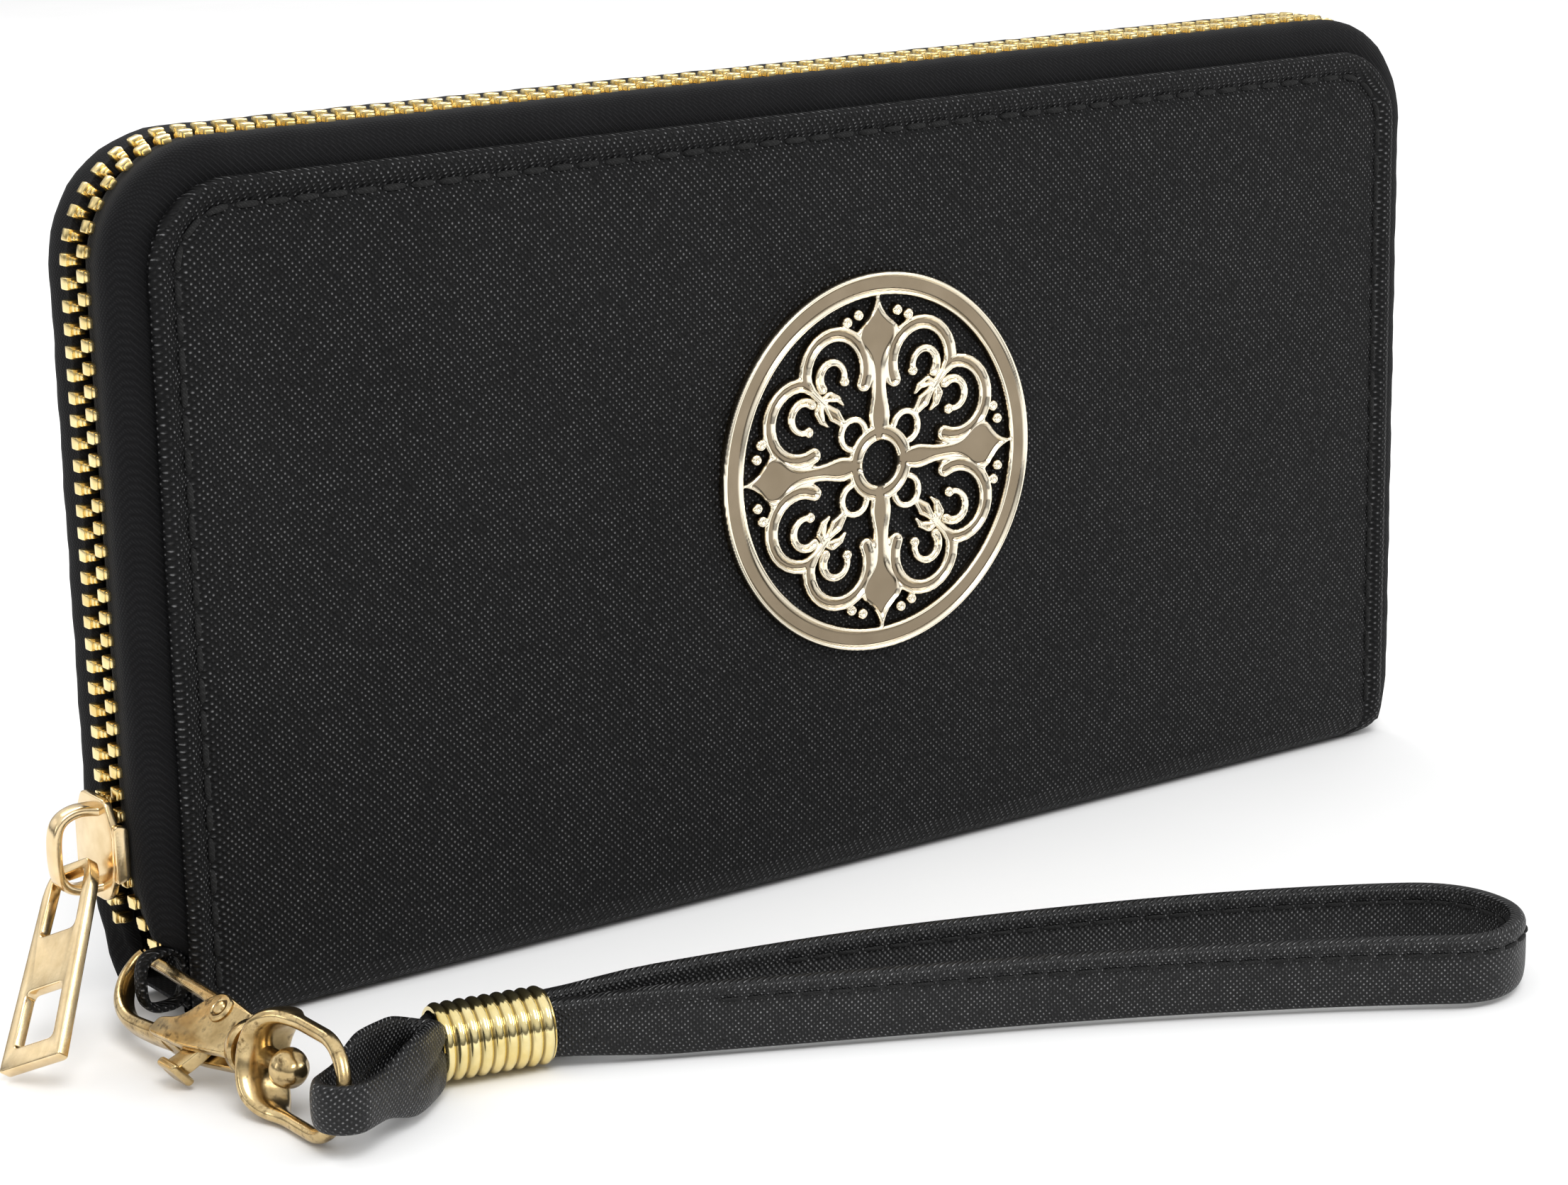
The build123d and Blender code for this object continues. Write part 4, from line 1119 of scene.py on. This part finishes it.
def coin_zip():
    low, high = node_box("coin_zip_tape")
    parts = []
    for side in (-1, 1):
        rings = []
        for i in range(81):
            x = low[0] + (high[0] - low[0]) * i / 80
            wave = 0.06 * math.sin(i * 1.7)
            rings.append([
                (x, side * (0.85 + wave), low[2]), (x, side * 0.8, high[2] - 0.6), (x, side * 0.65, high[2]),
                (x, side * 1.0, high[2] + 0.25), (x, side * 1.35, high[2]), (x, side * 1.2, high[2] - 0.6),
                (x, side * (1.15 + wave), low[2]),
            ])
        parts.append(loft(rings))
    build("coin_tape", *joined(parts), TAPE, "coin_pocket", ("coin_zip_tape",), 60)
    low, high = node_box("coin_zip_teeth")
    parts = []
    for side in (-1, 1):
        for i in range(int((high[0] - low[0]) / 2.0)):
            x = low[0] + 1.0 + 2.0 * i + side * 0.5
            for wide, near, far, foot, head in ((0.55, 0.05, 1.25, 1.5, 0.0), (0.4, 1.0, 1.75, 1.3, 0.2)):
                y_low, y_high = sorted((side * near, side * far))
                parts.append(rounded_box((x - wide, y_low, high[2] - foot), (x + wide, y_high, high[2] - head), 0.2))
    build("coin_teeth", *joined(parts), TEETH_GOLD, "coin_pocket", ("coin_zip_teeth",), 35)
    low, high = node_box("coin_zip_stops")
    parts = [rounded_box((x, *low[1:]), (x + 1.6, *high[1:]), 0.4, 3) for x in (low[0], high[0] - 1.6)]
    build("coin_stops", *joined(parts), TEETH_GOLD, "coin_pocket", ("coin_zip_stops",), 35)


coin_zip()


def coin_puller():
    low, high = node_box("coin_slider")
    start, end = low[0], high[0]
    middle = (start + end) / 2
    roof = low[2] + 4.2
    outline = rounded([
        (start, -2.6), (start + 1.5, -2.9), (end - 2, -2.9), (end, -1.7), (end, 1.7), (end - 2, 2.9),
        (start + 1.5, 2.9), (start, 2.6),
    ], 0.8, 5)
    parts = [plate([outline], (0, 0, roof - 0.35), X, Y, 0.35, 0.15)]
    for side in (-1, 1):
        for y, half, top in ((2.6, 0.3, roof - 0.3), (2.0, 0.4, low[2] + 0.6)):
            y *= side
            parts.append(rounded_box((start + 0.4, y - half, low[2]), (end - 0.8, y + half, top), 0.2))
    eye_z = high[2] - 1.5
    eye = [(middle + 1.1 * math.cos(a), 0, eye_z + 1.1 * math.sin(a)) for a in turns(28)]
    parts.append(swept(eye, superellipse(0.38, 0.6, 3.0, 12), Y, looped=True))
    build("coin_slider_body", *joined(parts), SATIN_GOLD, "coin_slider", ("coin_slider",), 35)
    tip = node_box("coin_pull")[1][0]
    tongue = rounded([(middle + 2.4, -1.6), (tip - 1, -2.0), (tip, 0), (tip - 1, 2.0), (middle + 2.4, 1.6)], 0.8, 5)
    hole = rounded([(middle + 5, -0.7), (middle + 9, -0.9), (middle + 9, 0.9), (middle + 5, 0.7)], 0.4, 4)
    parts = [plate([tongue, hole[::-1]], (0, 0, eye_z), X, Y, 0.45, 0.18)]
    for y in (-1.55, 1.55):
        parts.append(rounded_box((middle - 0.4, y - 0.35, eye_z - 0.4), (middle + 3.2, y + 0.35, eye_z + 0.4), 0.25))
    parts.append(lathe([(-1.75, 0.3), (-1.7, 0.45), (1.7, 0.45), (1.75, 0.3)], (middle, 0, eye_z), Y, 20))
    build("coin_pull_tag", *joined(parts), SATIN_GOLD, "coin_pull", ("coin_pull",), 35)


coin_puller()


def gusset(name, node, sign):
    """Folded cloth at one end."""
    top = node_box(node)[1][2]
    folds, rows, half = 4, 30, 6.75
    rings = []
    for r in range(rows):
        z = 3.2 + (top - 3.2) * r / (rows - 1)
        front, back = [], []
        for t in np.linspace(0, 1, folds * 8 + 1):
            fold = math.cos(t * folds * 2 * math.pi)
            x = sign * (85.2 - 1.6 * fold - 2.0 * (1 - r / rows) * math.sin(math.pi * t))
            front.append((x, half * (2 * t - 1), z))
            back.append((x - sign * 0.35, half * (2 * t - 1), z))
        rings.append(front + back[::-1])
    spread = ("root", "front_half", (0, 0.0066, 0.01), (0, -0.0066, 0.01))
    build(name, *loft(rings), LINING, replaces=(node,), sharp=60, blend=spread)


gusset("left_folded_gusset", "left_gusset", -1)
gusset("right_folded_gusset", "right_gusset", 1)

for material, names in (
    (BOARD, ("front_board", "back_board", "spine_board")), (LINING[0], ("front_lining", "back_lining", "spine_lining")),
    (STAMPED[0], ("prong_discs",)),
):
    for name in names:
        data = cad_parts[name].data
        data.materials.clear()
        data.materials.append(material)

# Floor, light and camera


def surroundings():
    s = Shader("floor_paper", IOR=1.45, Specular_IOR_Level=0.1)
    colour = s.ramp(s.noise(40.0, 3.0), [(0.0, (0.86, 0.86, 0.86)), (1.0, (0.9, 0.9, 0.9))])
    s.finish(colour, s.spread(s.noise(2.0), 0.85, 0.95))
    mesh = bpy.data.meshes.new("floor")
    mesh.from_pydata([(-15, -15, 0), (15, -15, 0), (15, 15, 0), (-15, 15, 0)], [], [(0, 1, 2, 3)])
    mesh.materials.append(s.material)
    add("floor", mesh)

    world = bpy.data.worlds.new("studio")
    bpy.context.scene.world = world
    world.use_nodes = True
    sky = world.node_tree
    where = sky.nodes.new("ShaderNodeTexCoord")
    axes = sky.nodes.new("ShaderNodeSeparateXYZ")
    fade = sky.nodes.new("ShaderNodeValToRGB")
    sky.links.new(where.outputs["Generated"], axes.inputs[0])
    sky.links.new(axes.outputs[2], fade.inputs[0])
    sky.links.new(fade.outputs[0], sky.nodes["Background"].inputs[0])
    points = fade.color_ramp.elements
    points.new(0.3)
    points.new(0.12)
    for point, (at, grey) in zip(points, ((0.0, 0.12), (0.12, 0.2), (0.35, 0.75), (0.8, 1.1))):
        point.position = at
        point.color = (grey, grey, grey, 1)

    def softbox(name, at, target, size, power):
        data = bpy.data.lights.new(name, "AREA")
        data.shape = "RECTANGLE"
        data.size, data.size_y = size
        data.energy = power
        light = add(name, data)
        light.location = at
        light.rotation_mode = "QUATERNION"
        light.rotation_quaternion = (Vector(target) - Vector(at)).to_track_quat("-Z", "Y")

    softbox("key", (-0.35, -0.75, 1.0), (0, 0, 0.03), (0.5, 0.5), 7.0)
    softbox("fill", (0.8, -0.7, 0.7), (0, 0, 0.05), (0.6, 0.4), 3.5)
    softbox("back", (0.1, 0.8, 0.8), (0, 0, 0.08), (0.8, 0.3), 3.5)
    softbox("side", (-1.0, 0.1, 0.35), (0, 0, 0.04), (0.15, 0.35), 0.5)
    softbox("tab", (-0.62, 1.0, 0.34), (-0.1, 0, 0.02), (0.45, 0.4), 0.33)

    data = bpy.data.cameras.new("camera")
    data.lens = 86.3
    data.sensor_width = 36.0
    data.clip_start = 0.01
    data.shift_x = -0.007
    camera = add("camera", data)
    right, down, ahead = (0.80213, -0.59687, -0.01844), (-0.16227, -0.18816, -0.96864), (0.57468, 0.77997, -0.24779)
    turn = Matrix((right, [-c for c in down], [-c for c in ahead])).transposed().to_4x4()
    camera.matrix_world = Matrix.Translation((-0.27452, -0.37068, 0.15241)) @ turn
    bpy.context.scene.camera = camera
    bpy.context.scene.view_settings.view_transform = "Standard"


surroundings()
